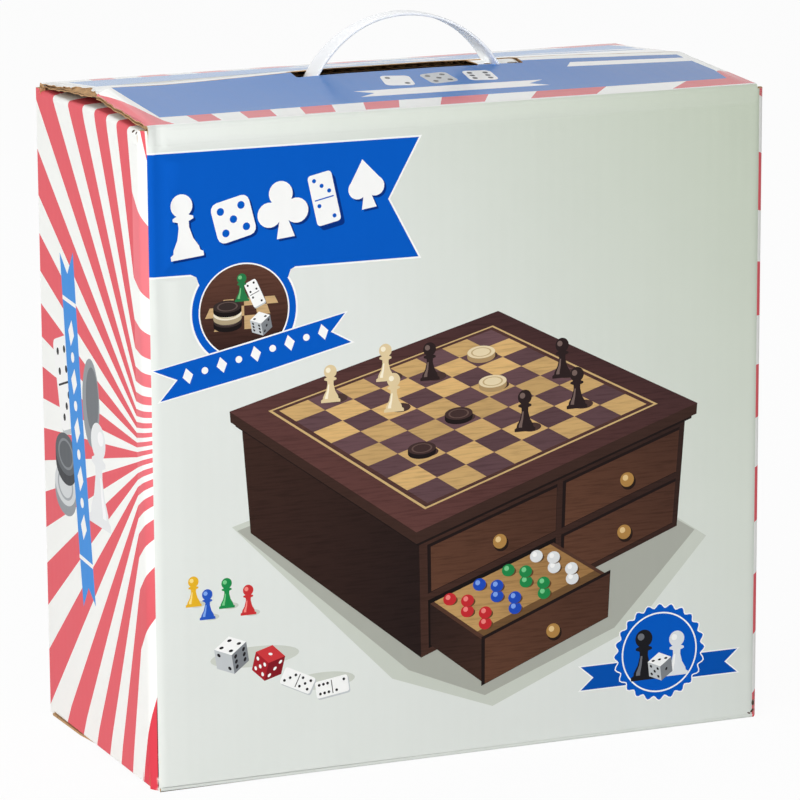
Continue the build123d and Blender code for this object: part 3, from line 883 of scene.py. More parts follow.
def side_ribbon_art(colours, across):
    """Long ribbon down a side wall, with swallow tails, cross lines, and games men beside it."""

    def on(points):
        """Places on the strip for places given by the wall's depth and height."""
        p = np.asarray(points, float)
        return np.stack([across(p[:, 0]), p[:, 1]], 1)

    art = [
        Patch(on(disc(2, 176, 13, 28, 1.7)), (150, 154, 158)),
        Patch(on(disc(0, 178, 9.5, 28, 1.7)), (116, 120, 124)),
    ]
    where = (44, 178, -16)  # middle and lean of the domino
    tile = at(rounded_box(24, 46, 3.5), *where)
    art += [Patch(on(tile + (-1.6, -2.2)), SMOKE), Patch(on(tile), WHITE)]
    art.append(Patch(on(at(rounded_box(19, 1.1, 0.5), *where)), COAL))
    for end, face in ((11.5, 4), (-11.5, 3)):
        for px, py in PIPS[face]:
            art.append(Patch(on(at(disc(px * 5.5, end + py * 5, 1.9, 14), *where)), COAL))
    for x, y, ink, rim, edge in (
        (46, 126, (214, 217, 218), (166, 170, 174), (150, 154, 158)),
        (44, 142, (92, 96, 100), (132, 136, 140), (58, 60, 64)),
    ):
        stack = draught(0, 0, 17, ink, edge, rim, 0.62)
        art += [Patch(on(p.outline + (x, y)), p.ink) for p in stack]
    for man in pawn(0, 0, 52, (236, 238, 238), (252, 252, 252)):
        art.append(Patch(on(man.outline * (1.15, 1) + (-8, 116)), man.ink))
    band = [(47.2, 243.4), (35.5, 234.5), (26.2, 246.8), (2.2, 73.6), (12.8, 80.5), (21.6, 69.1)]
    art.append(Patch(on(band), colours["ribbon"]))
    low, high = np.array([12.4, 73.0]), np.array([36.4, 243.0])
    cross = np.array([(-10.6, -2.4), (10.6, -1.2), (10.6, 0.9), (-10.6, -0.3)])
    for share in (0.125, 0.875):
        art.append(Patch(on(low + (high - low) * share + cross), WHITE))
    for k in range(9):
        middle = low + (high - low) * (0.22 + 0.56 * k / 8)
        if k % 2:
            art.append(Patch(on(disc(*middle, 2.6, 20)), WHITE))
        else:
            art += [Patch(on(p.outline), WHITE) for p in suit("diamond", *middle, 13.5, WHITE, 8)]
    return art


def lid_blue(colours):
    """The banner's blue, as dull as it is on the lid."""
    return colours["blue"] * 0.86 + (10, 36, 30)


def lid_art(colours, corner, mirrored):
    """Lid: leaning dashes along the fold, a blue field, white lines, a rule under three dice.

    u is the distance from the fold's sharp corner, and each dash leans away from x = -109.
    The back flap carries the front's print as in a mirror, its blue paler as painted sheen,
    and has one small red patch by its seam in place of the front's red ends."""
    red, up = colours["red"], corner - 0.8
    deep_red = red * (0.93, 0.74, 0.76)

    def lean(x, u):
        """A corner of a dash, which stands at x where u is 9."""
        return (x + (u - 9) * (x + 109) / 209, up + u)

    def above(points):
        """Places on the sheet for places given by x and u."""
        return [(x, up + u) for x, u in points]

    art = [Patch(above(oblong(-170, 170, 0.5, 3)), WHITE)]
    for a, b in ((-134, -122), (-108, -93), (-78, -62), (-46, -28), (-6, 18), (43, 79), (120, 172)):
        ink = deep_red if a > 40 else red * 0.97
        art.append(Patch([lean(a, 2.6), lean(b, 2.6), lean(b, 16), lean(a, 16)], ink))
    if mirrored:
        art.append(Patch(above([(149, 63), (158, 63), (158, 70), (152, 70)]), red))
    else:
        left_end = [(-166, 2), (-145.5, 2), (-148.4, 9), (-158.2, 69), (-166, 69)]
        art.append(Patch(above(left_end), red))
        art.append(Patch(above([(126, 12), (180, 12), (180, 31), (153, 31)]), deep_red))
    blue = lid_blue(colours)
    # painted sheen: the back flap's blue is lightened as glare would wash it, though its ink is the
    # front's
    if mirrored:
        blue = blue * 0.82 + (50, 42, 40)
    field = [(-148, 14.5), (147.8, 14.5), (149.4, 31), (145.6, 62.6), (61, 63.4)]
    field = above(field + [(60, 69.5), (-151.5, 69.5)])
    art.append(Patch(field, blue, 0.0, (blue - (10, 12, 16), (-10, up), (140, up))))
    art.append(Patch(above([(79.5, 49.7), (150.6, 49.7), (150.2, 56.4), (84.2, 56.4)]), WHITE))
    rule = [(-42, 23), (-33, 27.5), (-42, 32), (58, 32), (49, 27.5), (58, 23)]
    art.append(Patch(above(rule), WHITE))
    for k, (face, ink) in enumerate(((2, WHITE), (5, SMOKE), (6, WHITE))):
        art += flat_die(-14 + 22 * k, up + 44, 15, (-9, 7, -4)[k], face, ink, COAL)
    if not mirrored:
        return art
    return [Patch(p.outline * (-1, 1), p.ink) for p in art]


# ------------------------------------------------------------------ the carton's outline from above
class Sleeve:
    """The board as one strip that runs round the carton.

    The strip's place s is an arc length in millimetres: 0 is the middle of the front, and s
    grows towards the right, round the back and into the glued tab. Corners are circle arcs."""

    def __init__(self, spread):
        right = -LEFT_X + spread * 0.8
        corners = [(LEFT_X, BACK_Y), (LEFT_X - spread * 1.2, FRONT_Y), (right, FRONT_Y)]
        corners += [(right, BACK_Y), (LEFT_X + 3.0, BACK_Y), (LEFT_X + 3.0, TAB_END_Y)]
        points = np.array(corners)
        radii = [0.0, 8.0, 6.0, 6.0, 5.0, 0.0]
        along = [points[0]]
        self.flats = []
        for i in range(1, 5):
            before, corner, after = points[i - 1], points[i], points[i + 1]
            d1 = (corner - before) / np.linalg.norm(corner - before)
            d2 = (after - corner) / np.linalg.norm(after - corner)
            turn = np.arccos(np.clip(d1 @ d2, -1, 1))
            inset = radii[i] * np.tan(turn / 2)
            start = corner - d1 * inset
            normal = np.array([-d1[1], d1[0]])
            centre = start + normal * radii[i]
            a = np.linspace(0, turn, 10)
            arc = centre - normal * radii[i] * np.cos(a)[:, None]
            arc = arc + d1 * radii[i] * np.sin(a)[:, None]
            self.flats.append((along[-1], d1))
            along += list(arc)
        self.flats.append((along[-1], d2))
        along.append(points[5])
        self.points = np.array(along)
        steps = np.linalg.norm(np.diff(self.points, axis=0), axis=1)
        self.s = np.concatenate([[0], np.cumsum(steps)])
        front = self.flats[1]
        start = self.place_of(front[0])
        self.s -= start - front[0][0]
        edges = np.diff(self.points, axis=0) / steps[:, None]
        slopes = np.unwrap(np.arctan2(edges[:, 1], edges[:, 0]))
        self.heading = np.concatenate([[slopes[0]], (slopes[1:] + slopes[:-1]) / 2, [slopes[-1]]])
        self.starts = [self.place_of(p) for p, _ in self.flats]

    def place_of(self, point):
        """Arc length at a corner of the strip."""
        return self.s[np.argmin(np.linalg.norm(self.points - point, axis=1))]

    def at(self, s):
        """Place and outward direction on the strip, read between its corners."""
        x, y = np.interp(s, self.s, self.points[:, 0]), np.interp(s, self.s, self.points[:, 1])
        h = np.interp(s, self.s, self.heading)
        return np.stack([x, y], 1), np.stack([np.sin(h), -np.cos(h)], 1)

    def line(self, wall, s):
        """Place on the straight line of one wall, carried on past its corners."""
        start, way = self.flats[wall]
        return start + way * (np.asarray(s) - self.starts[wall])[:, None]

    def out(self, wall):
        """Outward direction of a wall."""
        way = self.flats[wall][1]
        return np.array([way[1], -way[0]])

    def eased(self, wall, s, way):
        """Place on the round strip, which goes over to the wall's straight line as way grows."""
        return self.at(s)[0] * (1 - way) + self.line(wall, s) * way

    def s_of(self, wall, x=None, y=None):
        """Arc length at which a wall's line has the given x or y."""
        start, way = self.flats[wall]
        axis = 0 if x is not None else 1
        value = x if x is not None else y
        return self.starts[wall] + (value - start[axis]) / way[axis]


LEFT, FRONT, RIGHT, BACK, TAB = range(5)


def smooth(value, low, high):
    """0 below low, 1 above high, 3t^2 - 2t^3 between."""
    t = np.clip((value - low) / (high - low), 0, 1)
    return t * t * (3 - 2 * t)


class Fold:
    """Profile of a wall that folds inwards: straight up, round an arc, then along a slope.

    q is the distance along the outside from where the profile starts. The arc turns by
    90 degrees less the slope's lean, so its ends lie radius x tan(turn / 2) from the corner."""

    def __init__(self, start, corner, lean, radius, sign=1.0):
        self.sign = sign
        self.start, self.turn, self.radius = start * sign, np.pi / 2 - lean, radius
        self.tangent = radius * np.tan(self.turn / 2)
        self.straight = corner * sign - self.tangent - self.start
        self.corner = self.straight + self.tangent
        self.end = self.straight + radius * self.turn
        self.knots = self.straight + radius * np.linspace(0, self.turn, 7)

    def profile(self, q):
        """(inward, height) of the outside at q."""
        a = np.clip((q - self.straight) / self.radius, 0, self.turn)
        beyond = np.maximum(q - self.end, 0)
        inward = self.radius * (1 - np.cos(a)) + beyond * np.sin(self.turn)
        height = self.start + np.minimum(q, self.straight) + self.radius * np.sin(a)
        return inward, self.sign * (height + beyond * np.cos(self.turn))

    def rows(self, before, after):
        """Cuts for the sheet: over the arc, and at distances before and after it."""
        first, last = self.knots[0], self.knots[-1]
        return [*self.knots, *(first - np.array(before)), *(last + np.array(after))]

    def q_at(self, from_corner):
        """q of a point on the slope, by its distance from the sharp corner."""
        return self.end + from_corner - self.tangent


def creased(fold, thick, sign=1.0):
    """Thickness of the board over a fold: pressed to 0.6 of it in the middle of the arc."""

    def deep(p):
        """Thickness at places on the sheet."""
        from_middle = (sign * p[:, 1] - (fold.straight + fold.end) / 2) / 2.6
        return thick * (1 - 0.4 * np.exp(-(from_middle**2)))

    return deep


def rubbed(middle, reach, strength):
    """Wear along a line across the sheet: strength x (1 - distance / reach)."""
    return lambda p: np.maximum(1 - np.abs(p[:, 1] - middle) / reach, 0) * strength


def stretched(p):
    """The carton's own distortions, from places on the true box: its right front corner leans
    out, growing with height, its front fold sags by 0.8 mm towards the right, and a shallow dip
    and ridge run up beside its left front corner."""
    p = np.array(p, float)
    x, y = p[:, 0].copy(), p[:, 1].copy()
    rise = np.clip(p[:, 2] / 323, 0, 1)
    forward = 1 - smooth(y, -79, 8)
    p[:, 0] += (0.6 + 2.3 * rise) * smooth(x, 60, 158) * forward
    p[:, 2] -= 0.8 * smooth(x, -80, 110) * forward * rise**6
    dip = 0.85 * np.exp(-(((x + 154.5) / 2.6) ** 2)) - 0.4 * np.exp(-(((x + 149.5) / 1.8) ** 2))
    p[:, 1] += dip * (1 - smooth(y, -79, -73)) * (0.2 + 0.8 * smooth(p[:, 2], 190, 290))
    return p


# ------------------------------------------------------------------ meshes
def new_piece(name, vertices, faces, materials, smooth_faces=True):
    """Mesh object from places in millimetres."""
    mesh = bpy.data.meshes.new(name)
    mesh.from_pydata((np.asarray(vertices) * MM).tolist(), [], [tuple(f) for f in faces])
    for material in materials:
        mesh.materials.append(material)
    mesh.polygons.foreach_set("use_smooth", np.full(len(mesh.polygons), smooth_faces))
    mesh.update()
    piece = bpy.data.objects.new(name, mesh)
    bpy.context.scene.collection.objects.link(piece)
    return piece


def grid_faces(rows, columns, closed=False):
    """Quads of a grid of rows x columns points; closed joins the last column to the first."""
    i = np.arange(rows - 1)[:, None]
    j = np.arange(columns if closed else columns - 1)[None, :]
    k = (j + 1) % columns
    low, high = i * columns, (i + 1) * columns
    return np.stack([low + j, low + k, high + k, high + j], -1).reshape(-1, 4)


def stepped(outline, pitch):
    """The outline with its long edges cut into steps no longer than pitch."""
    steps = []
    for a, b in zip(outline, np.roll(outline, -1, 0)):
        count = max(1, int(np.ceil(np.linalg.norm(b - a) / pitch)))
        steps.append(a + (b - a) * np.linspace(0, 1, count, endpoint=False)[:, None])
    return np.concatenate(steps)


def cut_sheet(outline, shown, knots, rows, pitch):
    """Cuts the flat sheet into triangles along the edge of every patch, and says which patch is
    on top of each."""
    low, high = outline.min(0), outline.max(0)
    points, faces, edges = [outline], [list(range(len(outline)))], []
    count = len(outline)
    for patch in shown:
        faces.append(list(range(count, count + len(patch.outline))))
        points.append(patch.outline)
        count += len(patch.outline)
    for values, axis in ((knots, 0), (rows, 1)):
        for v in values:
            if low[axis] + 0.05 < v < high[axis] - 0.05:
                ends = np.array([low, high])
                ends[:, axis] = v
                points.append(ends)
                edges.append((count, count + 1))
                count += 2
    xs = np.linspace(low[0], high[0], max(2, int((high[0] - low[0]) / pitch)) + 1)[1:-1]
    ys = np.linspace(low[1], high[1], max(2, int((high[1] - low[1]) / pitch)) + 1)[1:-1]
    gx, gy = np.meshgrid(xs, ys)
    points.append(np.stack([gx.ravel(), gy.ravel()], 1))
    flat = np.concatenate(points)
    made = delaunay_2d_cdt([Vector(p) for p in flat.tolist()], edges, faces, 1, 1e-4)
    inside = [i for i, owners in enumerate(made[5]) if 0 in owners]
    triangles = np.array([made[2][i] for i in inside])
    top = np.array([max(made[5][i]) for i in inside])
    used, triangles = np.unique(triangles, return_inverse=True)
    sheet = np.array([tuple(v) for v in made[0]])[used]
    return sheet, triangles.reshape(-1, 3), top


def outward(place, sheet, reach=0.25):
    """Direction square to the bent sheet: cross product of its two slopes over a short reach."""
    along = place(sheet + (reach, 0)) - place(sheet - (reach, 0))
    up = place(sheet + (0, reach)) - place(sheet - (0, reach))
    n = np.cross(along, up)
    return n / np.linalg.norm(n, axis=1)[:, None]


def printed_sheet(
    name, outline, art, place, thickness, knots, rows, pitch, wear=None, kinds=None, joins=()
):
    """A board cut to outline and covered by art, each patch lying over the ones before it.

    place() bends the flat sheet. The inside lies one thickness along the outward direction
    under the outside, and a strip of quads closes the cut edge between them. Where the edge
    lies on one of the joins, given as heights on the sheet, it is printed like the outside."""
    outline = stepped(anticlockwise(np.asarray(outline, float)), pitch)
    low, high = outline.min(0), outline.max(0)
    shown = [p for p in art if (p.outline.max(0) > low).all() and (p.outline.min(0) < high).all()]
    sheet, triangles, top = cut_sheet(outline, shown, knots, rows, pitch)
    outside = place(sheet)
    normal = outward(place, sheet)
    deep = thickness(sheet) if callable(thickness) else np.full(len(sheet), float(thickness))
    inside = outside - normal * deep[:, None]

    count = len(sheet)
    edges = np.concatenate([triangles[:, [0, 1]], triangles[:, [1, 2]], triangles[:, [2, 0]]])
    keys = edges[:, 0] * count + edges[:, 1]
    free = np.flatnonzero(~np.isin(keys, edges[:, 1] * count + edges[:, 0]))
    side, owner = np.divmod(free, len(triangles))
    rim = edges[free]
    from_join = np.abs(sheet[rim][:, :, 1, None] - np.array([*joins, 1e6])).min(2).max(1)
    joined = from_join < 0.03
    rim = np.column_stack([rim[:, 1], rim[:, 0], rim[:, 0] + count, rim[:, 1] + count])
    under = triangles[:, ::-1] + count
    vertices = np.concatenate([outside, inside])
    faces = triangles.tolist() + under.tolist() + rim.tolist()
    piece = new_piece(name, vertices, faces, board_materials() if kinds is None else kinds)
    mesh = piece.data
    kind = np.concatenate([np.repeat([0, 1], len(triangles)), np.where(joined, 0, 2)])
    mesh.polygons.foreach_set("material_index", kind.astype(np.int32))

    loops = np.concatenate([triangles.ravel(), under.ravel(), rim.ravel()])
    layer = mesh.uv_layers.new(name="sheet")
    layer.uv.foreach_set("vector", (sheet[loops % count] * MM).astype(np.float32).ravel())
    ink = np.ones((len(loops), 4), np.float32)
    printed = np.ones((len(triangles), 3, 4), np.float32)
    printed[:, :, :3] = linear((250, 251, 247))
    grain = np.zeros(len(loops), np.float32)
    corners = sheet[triangles]
    for number, patch in enumerate(shown, 1):
        mine = top == number
        if mine.any():
            printed[mine, :, :3] = patch.tint(corners[mine].reshape(-1, 2)).reshape(-1, 3, 3)
            grain[: 3 * len(triangles)].reshape(-1, 3)[mine] = patch.grain
    ink[: 3 * len(triangles)] = printed.reshape(-1, 4)
    first, second = printed[owner, side], printed[owner, (side + 1) % 3]
    ink[6 * len(triangles) :] = np.stack([second, first, first, second], 1).reshape(-1, 4)
    mesh.attributes.new("ink", "FLOAT_COLOR", "CORNER").data.foreach_set("color", ink.ravel())
    mesh.attributes.new("grain", "FLOAT", "CORNER").data.foreach_set("value", grain)
    rubbed = wear(sheet) if wear else np.zeros(count)
    rubbed = np.concatenate([rubbed, np.zeros(count)]).astype(np.float32)
    mesh.attributes.new("wear", "FLOAT", "POINT").data.foreach_set("value", rubbed)

    corner = vertices[rim]
    square = np.cross(corner[:, 2] - corner[:, 0], corner[:, 3] - corner[:, 1])
    square /= np.maximum(np.linalg.norm(square, axis=1), 1e-12)[:, None]
    square = np.where(joined[:, None, None], normal[rim % count], square[:, None, :]).reshape(-1, 3)
    directions = [normal[triangles.ravel()], -normal[triangles[:, ::-1].ravel()], square]
    mesh.normals_split_custom_set(np.concatenate(directions).tolist())
    return piece


def settings():
    """The scene's carton sizes as kept, in metres, and its colours as 0 to 255."""
    scene = bpy.context.scene
    c = scene.carton_colours

    def written(value):
        """Linear light as 0 to 255, the other way round from linear()."""
        v = np.asarray(value, float)
        bright = 1.055 * np.maximum(v, 1e-9) ** (1 / 2.4) - 0.055
        return np.where(v <= 0.0031308, v * 12.92, bright) * 255

    names = ("paper", "red", "field_left", "field_right_shaded", "blue", "ribbon", "kraft")
    return scene.carton_sizes, {n: written(getattr(c, n)) for n in names}


MATERIALS = {}


# specular level, coat and roughness of the print; the lid's is the glossier
PRINTS = {"printed_board": (0.06, 0.0, 0.42), "printed_lid": (0.4, 0.18, 0.22)}


def material(name, make, *args, **more):
    """The named material, made on first use."""
    if name not in MATERIALS:
        MATERIALS[name] = make(name, *args, **more)
    return MATERIALS[name]


def board_materials(printed="printed_board"):
    """Print, kraft inside and cut edge."""
    kraft = linear(settings()[1]["kraft"])
    return [
        material(printed, printed_finish, *PRINTS[printed]),
        material("kraft_liner", kraft_finish, kraft),
        material("cut_edge", edge_finish, kraft),
    ]


def make_sleeve():
    """The carton's strip of board, at the panel's sizes."""
    return Sleeve(bpy.context.scene.carton_sizes.corner_spread / MM)


def corner_rays(colours, sleeve, hub, sun):
    """Rays over the flattened left front corner, where each edge bends to a gentler slope.

    An edge meets the flat at a rise above the hub's level and leaves it at 3.5 mm + 0.85 x rise."""
    level, period, phase = sun
    kink, right = sleeve.s_of(LEFT, y=-64.6), FIELD_LEFT + 0.3
    art = [Patch(oblong(kink, right, SHEET_LOW, SHEET_HIGH), colours["paper"])]
    for a in phase + period * np.arange(-8, 9):
        low, high = a - period * RAY_HALF, a + period * RAY_HALF
        if abs(a - 180) < 79:
            rise = (hub - kink) * np.tan(np.radians(180 - np.array([low, high])))
            near = [(kink, level + rise[0]), (kink, level + rise[1])]
            far = [(right, level + 3.5 + 0.85 * rise[1]), (right, level + 3.5 + 0.85 * rise[0])]
            fade = ((229, 100, 108), (kink, 230), (kink, 90))
            art.append(Patch(near + far, (240, 128, 136), 0.0, fade))
    top = sleeve.s_of(LEFT, y=-75.0)
    art.append(Patch([(top, 322), (top + 2.8, 322), (right, 306)], colours["red"]))
    foot = sleeve.s_of(LEFT, y=-64.5)
    for ink, edge in (
        ((226, 70, 84), [(right, 48), (foot, 3), (foot + 2, SHEET_LOW)]),
        ((96, 40, 44), [(right, 54), (right - 0.7, 40), (right - 0.9, SHEET_LOW)]),
    ):
        art.append(Patch([*edge, (right, SHEET_LOW)], ink))
    return art


def field_with_painted_shade(colours, left, right, low, high, drop=0.0):
    """The pale ground, darker towards its upper right: its fade is partly the print's own
    and partly painted shade of the light falling off across the front; drop moves the fade down.
    """
    fade = (colours["field_right_shaded"], (30, 120 - drop), (220, 260 - drop))
    return Patch(oblong(left, right, low, high), colours["field_left"], 0.0, fade)


def build_art(colours, sleeve):
    """Art of the whole strip: sunburst walls, and a pale field with pictures on front and back."""
    red = colours["red"]
    # the back repeats the front, and the right wall the left, half the strip further on
    half = sleeve.s_of(BACK, x=0.0)
    hub = sleeve.s_of(LEFT, y=-89.7)
    art = rays(hub, LEFT_SUN, red, sleeve.s[0] - 3, FIELD_LEFT + 1)
    art += corner_rays(colours, sleeve, hub, LEFT_SUN)
    art += rays(half, RIGHT_SUN, red, FIELD_RIGHT - 1, half + FIELD_LEFT + 1)
    front = [field_with_painted_shade(colours, FIELD_LEFT, FIELD_RIGHT, SHEET_LOW, SHEET_HIGH)]
    front += games_box_picture() + banner_art(colours) + window_art() + ribbon_art(colours)
    front += seal_art(colours) + side_ribbon_art(colours, lambda y: sleeve.s_of(LEFT, y=y))
    art += front + [moved_patch(p, (half, 0)) for p in front]
    # knocks: two nicks under the lid's left corner, and a crushed lower right corner
    left = sleeve.s_of(LEFT, y=0.0)
    knocks = [(left + 66.4, 319.6, 1.3, 0.7, 20), (left + 71.0, 319.4, 0.9, 0.8, -30)]
    knocks += [(159.3, 7.6, 1.3, 1.2, 0), (158.6, 3.6, 1.5, 0.5, 25)]
    knocks += [(156.4, 2.6, 1.0, 0.4, -20), (160.6, 11.5, 0.5, 2.4, 0)]
    for s, z, across, flat, turn in knocks:
        art.append(Patch(disc(s, z, across, 14, flat, turn), (84, 66, 54)))
    return art


class GAMESCARTON_OT_walls(bpy.types.Operator):
    """Bends the printed board round the four walls, with its glued tab"""

    bl_idname = "gamescarton.walls"
    bl_label = "Walls"

    def execute(self, context):
        sizes, colours = settings()
        sleeve = make_sleeve()
        s = sleeve.s
        # from where to where each wall carries a flap, at its sides, foot and top
        left = (sleeve.s_of(LEFT, y=SIDE_HALF), sleeve.s_of(LEFT, y=-SIDE_HALF))
        right = (sleeve.s_of(RIGHT, y=-SIDE_HALF), sleeve.s_of(RIGHT, y=SIDE_HALF))
        back_foot = (sleeve.s_of(BACK, x=LID_HALF), sleeve.s_of(BACK, x=-LID_HALF + 2.5))
        back_top = (sleeve.s_of(BACK, x=LID_RIGHT), sleeve.s_of(BACK, x=-LID_BACK_LEFT))
        tab = sleeve.starts[TAB]
        outline = [(s[0], CORNER_FOOT)]
        for (a, b), foot in (
            (left, SIDE_FOOT),
            ((-LID_HALF, LID_HALF), FRONT_FOOT),
            (right, SIDE_FOOT),
            (back_foot, FRONT_FOOT),
        ):
            outline += [(a, CORNER_FOOT), (a, foot), (b, foot), (b, CORNER_FOOT)]
        outline += [(tab - 1, CORNER_FOOT), (tab + 2, 9), (s[-1], 14)]
        outline += [(s[-1], 308), (tab + 2, 313), (tab - 1, CORNER_TOP)]
        for a, b in (back_top, right, (-LID_HALF, LID_RIGHT), left):
            outline += [(b, CORNER_TOP), (b, TOP_CUT), (a, TOP_CUT), (a, CORNER_TOP)]
        outline.append((s[0], CORNER_TOP))
        bulge = sizes.wall_bulge / MM

        def place(p):
            """Strip place, pushed out by bulge x sin^2 along the wall x sin^2 up it."""
            xy, out = sleeve.at(p[:, 0])
            up = np.sin(np.pi * np.clip((p[:, 1] - 8) / (TOP_CUT - 12), 0, 1)) ** 2
            belly = np.zeros(len(p))
            for wall, share in ((LEFT, 0.5), (FRONT, 1.0), (RIGHT, 0.5), (BACK, 1.0)):
                a = sleeve.starts[wall]
                b = sleeve.starts[wall + 1] - 8
                t = np.clip((p[:, 0] - a) / (b - a), 0, 1)
                belly += share * np.sin(np.pi * t) ** 2
            xy = xy + out * (bulge * belly * up)[:, None]
            return stretched(np.column_stack([xy, p[:, 1]]))

        starts = np.array(sleeve.starts[1:])

        def wear(p):
            """Rubbed near the ends of the upright corners."""
            from_corner = np.min(np.abs(p[:, :1] - (starts - 5)[None, :]), axis=1)
            near = np.maximum(1 - from_corner / 6, 0)
            ends = np.maximum(1 - np.minimum(p[:, 1] - 3, 320 - p[:, 1]) / 16, 0)
            return np.clip(near * (0.30 + 0.5 * ends), 0, 1)

        art = build_art(colours, sleeve)
        knots = s[1:-1]
        joins = (TOP_CUT, FRONT_FOOT, SIDE_FOOT)
        walls = printed_sheet(
            "carton_walls", outline, art, place, sizes.board / MM,
            knots, (), WALL_PITCH, wear, None, joins,
        )
        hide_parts("front_wall", "back_wall", "left_wall", "right_wall", "glue_tab")
        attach(walls, "carton")
        return {"FINISHED"}


def lid_bow(x, share):
    """How far the lid is lifted: bow less 6 mm, or 3.7 mm on the right, x (distance from the
    handle / 160)^2, with a curl at the left end, all growing towards the seam as its share of
    the way to the power 1.35."""
    bow = bpy.context.scene.carton_sizes.lid_bow / MM
    fall = np.where(x < BOW_X, 6.0, 3.7)
    lift = bow - fall * ((x - BOW_X) / 160.0) ** 2 + 2.8 * np.exp(-(((x + 160.0) / 32.0) ** 2))
    return np.maximum(lift, -2.3) * np.clip(share, 0, 1) ** 1.35


class Lid:
    """One outer flap of the lid: which wall it folds from, and its run up to the seam."""

    def __init__(self, name, wall, body, cad):
        low, high = cad_mm(cad)
        self.name, self.wall, self.body, self.cad = name, wall, body, cad
        sizes = bpy.context.scene.carton_sizes
        self.thick, self.liner = sizes.board / MM, sizes.liner / MM
        self.left = -LID_HALF if wall == FRONT else -LID_BACK_LEFT
        # how far its inner liner stops short of the seam at the hand slot
        self.notch = 12.0 if wall == FRONT else 24.0
        run = high[1] - FRONT_Y if wall == FRONT else BACK_Y - low[1]
        lean = np.arctan2(LID_RISE, run + 0.3)
        self.fold = Fold(TOP_CUT, LID_TOP, lean, sizes.fold_radius / MM)
        self.sleeve = make_sleeve()
        self.seam = self.fold.q_at(run / np.cos(lean))
        self.split = self.fold.q_at(6.0)
        self.middle = self.sleeve.s_of(wall, x=0.0)

    def creased(self, p):
        """Thickness at the fold, thinner at the crushed ends."""
        crush = smooth(np.abs(p[:, 0]), LID_HALF - 9, LID_HALF)
        return creased(self.fold, self.thick)(p) * (1 - 0.4 * crush)

    def ends(self, inset=0.0):
        """The flap's two ends on its own sheet; the sheet of the back flap runs the other way."""
        low, high = self.left, LID_RIGHT
        if self.wall == BACK:
            low, high = -high, -low
        return low + inset, high - inset

    def knots(self):
        """Cuts close to both ends, where the board is crushed."""
        low, high = self.ends()
        steps = np.array([1.8, 3.5, 5.2, 7.0, 9.0])
        return [*(low + steps), *(high - steps)]

    def place(self, p, deep=0.0):
        """Wall, fold and slope, with the lid's bow. deep is how far down the board's thickness
        the place lies: 0 is the printed liner's top, and 1 the top of the inner liner."""
        q = p[:, 1]
        inward, height = self.fold.profile(q)
        way = smooth(q, 0.5, self.fold.straight)[:, None]
        base = self.sleeve.eased(self.wall, p[:, 0] + self.middle, way)
        xy = base - self.sleeve.out(self.wall) * inward[:, None]
        share = (q - self.fold.end) / (self.seam - self.fold.end)
        z = height + lid_bow(xy[:, 0], share)
        near = smooth(np.maximum(xy[:, 0] - LID_RIGHT, self.left - xy[:, 0]), -7, 0)
        near = near * smooth(q, self.fold.straight, self.split)
        ragged = (0.35 * np.sin(q * 0.52 + 0.6) + 0.25 * np.sin(q * 1.13)) * (xy[:, 0] < 0)
        xy[:, 0] -= 1.8 * smooth(-xy[:, 0], 110, LID_HALF) * np.clip(share, 0, 1)
        ripple = 0.2 * np.sin(xy[:, 0] * 0.07 + 1.3) * np.sin(xy[:, 0] * 0.031)
        ripple = ripple * np.clip(share, 0, 1)
        drop = deep * (self.thick - self.liner) * (1 - 0.45 * near)
        crushed = near * (0.2 + 2.4 * np.clip(share, 0, 1) + ragged)
        return stretched(np.column_stack([xy, z - crushed + ripple - drop]))


def lid_outline(lid, start, depth, torn=()):
    """Outline of a flap's liner from start to the seam, with half of the hand slot cut out."""
    half, radius = SLOT_HALF, 1.0
    low, high = lid.ends()
    seam = lid.seam
    slot = [(half, seam), (half, seam - depth + radius), (half - radius, seam - depth)]
    slot += [(-x, v) for x, v in reversed(slot)]
    right = [(low, start), (high, start), *torn, (high, seam - 1.2), (high - 1.0, seam)]
    left = [(low + 1.0, seam), (low, seam - 1.2)]

    def frayed(a, b, pace):
        """The seam's edge from a to b, wavy by 0.22 mm."""
        return [(x, seam + 0.22 * np.sin(x * pace)) for x in np.linspace(a, b, 9)]

    right += frayed(high - 12, half + 6, 0.37) + slot + frayed(-half - 6, low + 12, 0.41)
    return np.array(right + left)


# torn end of the back flap's print: share of the way to the seam, and how far it is torn back
TORN = np.array(
    [
        (0.24, 0.3), (0.30, 1.9), (0.335, 1.2), (0.40, 2.6), (0.46, 2.1), (0.475, 3.6), (0.55, 4.4),
        (0.60, 3.1), (0.655, 3.5), (0.69, 5.0), (0.76, 4.3), (0.80, 2.2), (0.86, 2.7), (0.93, 0.8),
    ]
)


